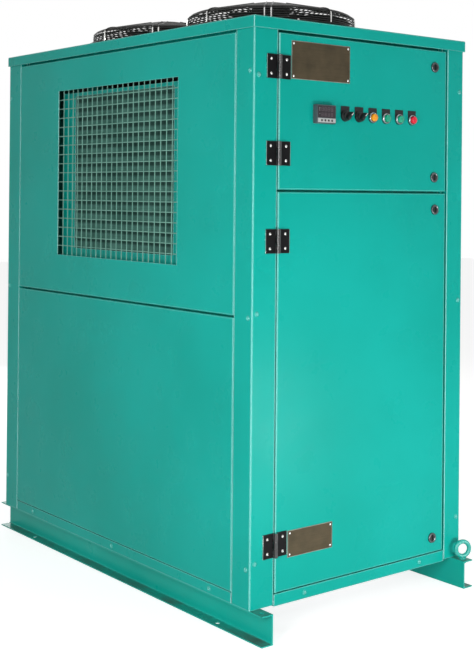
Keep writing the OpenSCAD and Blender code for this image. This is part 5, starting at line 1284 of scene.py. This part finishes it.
def water_lines():
    """Steel water lines with screwed elbows' collars, tapped sockets at the rear and the cable gland."""
    x, low, high, cool = WATER_X, TANK_LOW_Z, TANK_HIGH_Z, HIGH_PORT_Z
    side, back, rear, over = 135.6, -187.9, 612, 324
    turn_y = back + 42
    lines = [
        [(x, rear, high), (x, TANK_Y, high), (side, TANK_Y, high)],
        [(side, TANK_Y, low), (x, TANK_Y, low), (x, 180, low)],
        [(x, PUMP_PORT_Y, 282), (x, PUMP_PORT_Y, over), (x, turn_y, over), (x, turn_y, LOW_PORT_Z),
         (x, back, LOW_PORT_Z)],
        [(x, back, cool), (x, rear, cool)],
    ]
    parts = [tube(bent_path(corners, 34, 8), 21, 24) for corners in lines]
    for y, z in ((560, high), (560, cool), (360, cool), (-140, cool), (200, low), (-20, over), (100, over)):
        parts += [turned(COLLAR, (x, y, z), "y", 32, True)]
    for y, z in ((480, high), (430, cool)):
        parts += [turned(UNION_NUT, (x, y, z), "y", 8, True)]
    parts += [turned([(19, 255), (24.5, 256), (24.5, 288), (19, 289)], (x, turn_y, 0), "z", 32, True)]
    for z in (high, cool):
        at = (x, 0, z)
        parts += [turned(SOCKET, at, "y", 48), turned([*THREAD, (20, -625), (20, -660)], at, "y", 32, True)]
        parts += [turned([(27.5, -646), (36, -645), (36, -640.2), (27.5, -640.2)], at, "y", 6, True)]
    at = (-x, 0, GLAND_Z)
    parts += [
        sleeve(10, 21, -632.2, -638, at, "y", 6, 1),
        sleeve(10, 15.5, -631, -648, at, "y", 24, 1),
        sleeve(10, 21, -640.2, -649, at, "y", 6, 1),
        turned(GLAND_NUT, at, "y", 32, True, 1),
    ]
    piece("water_lines", parts, [galvanised, black_plastic], "cabinet", ["water_pipes"])


water_lines()


# Stage, lamps and camera


FLOOR_REACH = 14.0
FLOOR_TONE, FLOOR_GLOW, ROOM_LEVEL = 0.62, 0.74, 0.28


def plainly_seen(tree):
    """1 for what the camera, gloss and glass see, 0 for what lights the object."""
    path = put(tree, "LightPath").outputs
    seen = maths(tree, "MAXIMUM", path["Is Camera Ray"], path["Is Glossy Ray"])
    return maths(tree, "MAXIMUM", seen, path["Is Transmission Ray"])


def floor_and_room():
    """Pale floor that keeps the shadow, and a plain white room for what the camera and gloss see."""
    floor = bpy.data.meshes.new("floor")
    corners = [(x * FLOOR_REACH, y * FLOOR_REACH, 0) for x, y in ((-1, -1), (1, -1), (1, 1), (-1, 1))]
    floor.from_pydata(corners, [], [(0, 1, 2, 3)])
    floor_object = bpy.data.objects.new("floor", floor)
    bpy.context.scene.collection.objects.link(floor_object)
    material = bpy.data.materials.new("floor_pale")
    material.use_nodes = True
    tree = material.node_tree
    tree.nodes.remove(tree.nodes["Principled BSDF"])
    matt = put(tree, "BsdfDiffuse", {"Color": (FLOOR_TONE, FLOOR_TONE, FLOOR_TONE, 1)})
    glow = put(tree, "Emission", {"Strength": maths(tree, "MULTIPLY", plainly_seen(tree), FLOOR_GLOW)})
    both = put(tree, "AddShader", {0: matt.outputs[0], 1: glow.outputs[0]})
    tree.links.new(both.outputs[0], tree.nodes["Material Output"].inputs[0])
    floor.materials.append(material)

    world = bpy.data.worlds.new("studio")
    world.use_nodes = True
    bpy.context.scene.world = world
    tree = world.node_tree
    background = tree.nodes["Background"]
    tree.links.new(ramp(tree, plainly_seen(tree), 0, 1, ROOM_LEVEL, 1.0), background.inputs["Strength"])
    background.inputs["Color"].default_value = (1, 1, 1, 1)


def softbox(name, place, target, width, height, watts):
    """Area lamp aimed at a point."""
    lamp = bpy.data.lights.new(name, "AREA")
    lamp.shape, lamp.size, lamp.size_y, lamp.energy = "RECTANGLE", width, height, watts
    lamp_object = bpy.data.objects.new(name, lamp)
    bpy.context.scene.collection.objects.link(lamp_object)
    eye, aim = np.array(place), np.array(target)
    back = (eye - aim) / np.linalg.norm(eye - aim)
    right = np.cross((0, 0, 1), back)
    right /= np.linalg.norm(right)
    columns = np.stack([right, np.cross(back, right), back], 1)
    lamp_object.matrix_world = Matrix.Translation(place) @ Matrix(columns.tolist()).to_4x4()


floor_and_room()
softbox("lamp_front_low", (0.3, -2.2, 0.2), (0.1, -0.62, 0.35), 1.4, 0.3, 17)
softbox("lamp_left_tall", (-2.0, -1.5, 0.75), (-0.38, -0.35, 0.75), 0.35, 1.4, 25)
softbox("lamp_eye", (-2.5, -3.1, 2.0), (-0.2, -0.4, 0.9), 0.5, 0.5, 14)
softbox("lamp_top", (0.4, -0.4, 4.4), (0.0, 0.0, 1.5), 2.6, 2.6, 22)
softbox("lamp_rear", (1.5, 3.5, 1.5), (0.1, 0.4, 0.8), 1.6, 1.6, 32)

CAMERA_PLACE = (-2.2148, -2.8797, 1.0882)
CAMERA_YAW, CAMERA_PITCH, CAMERA_ROLL = 0.67154, 0.002643, 0.00919
SHIFT_RIGHT, SHIFT_UP = -0.0054, -0.2063
SENSOR, LONG_SIDE, FOCAL_PIXELS = 36.0, 650.0, 1198.29


def photo_camera():
    """Camera at the photographed viewpoint: yaw, pitch and roll as solved from the cabinet's corners."""
    data = bpy.data.cameras.new("camera")
    data.sensor_width = SENSOR
    data.lens = SENSOR * FOCAL_PIXELS / LONG_SIDE
    data.shift_x, data.shift_y = SHIFT_RIGHT, SHIFT_UP
    data.clip_start, data.clip_end = 0.05, 60
    yaw, pitch, roll = CAMERA_YAW, CAMERA_PITCH, CAMERA_ROLL
    ahead = np.array([math.sin(yaw) * math.cos(pitch), math.cos(yaw) * math.cos(pitch), math.sin(pitch)])
    right = np.array([math.cos(yaw), -math.sin(yaw), 0.0])
    up = np.cross(right, ahead)
    right, up = math.cos(roll) * right + math.sin(roll) * up, -math.sin(roll) * right + math.cos(roll) * up
    camera = bpy.data.objects.new("camera", data)
    bpy.context.scene.collection.objects.link(camera)
    turn = Matrix(np.stack([right, up, -ahead], 1).tolist()).to_4x4()
    camera.matrix_world = Matrix.Translation(CAMERA_PLACE) @ turn
    bpy.context.scene.camera = camera


photo_camera()
bpy.context.scene.view_settings.view_transform = "Standard"
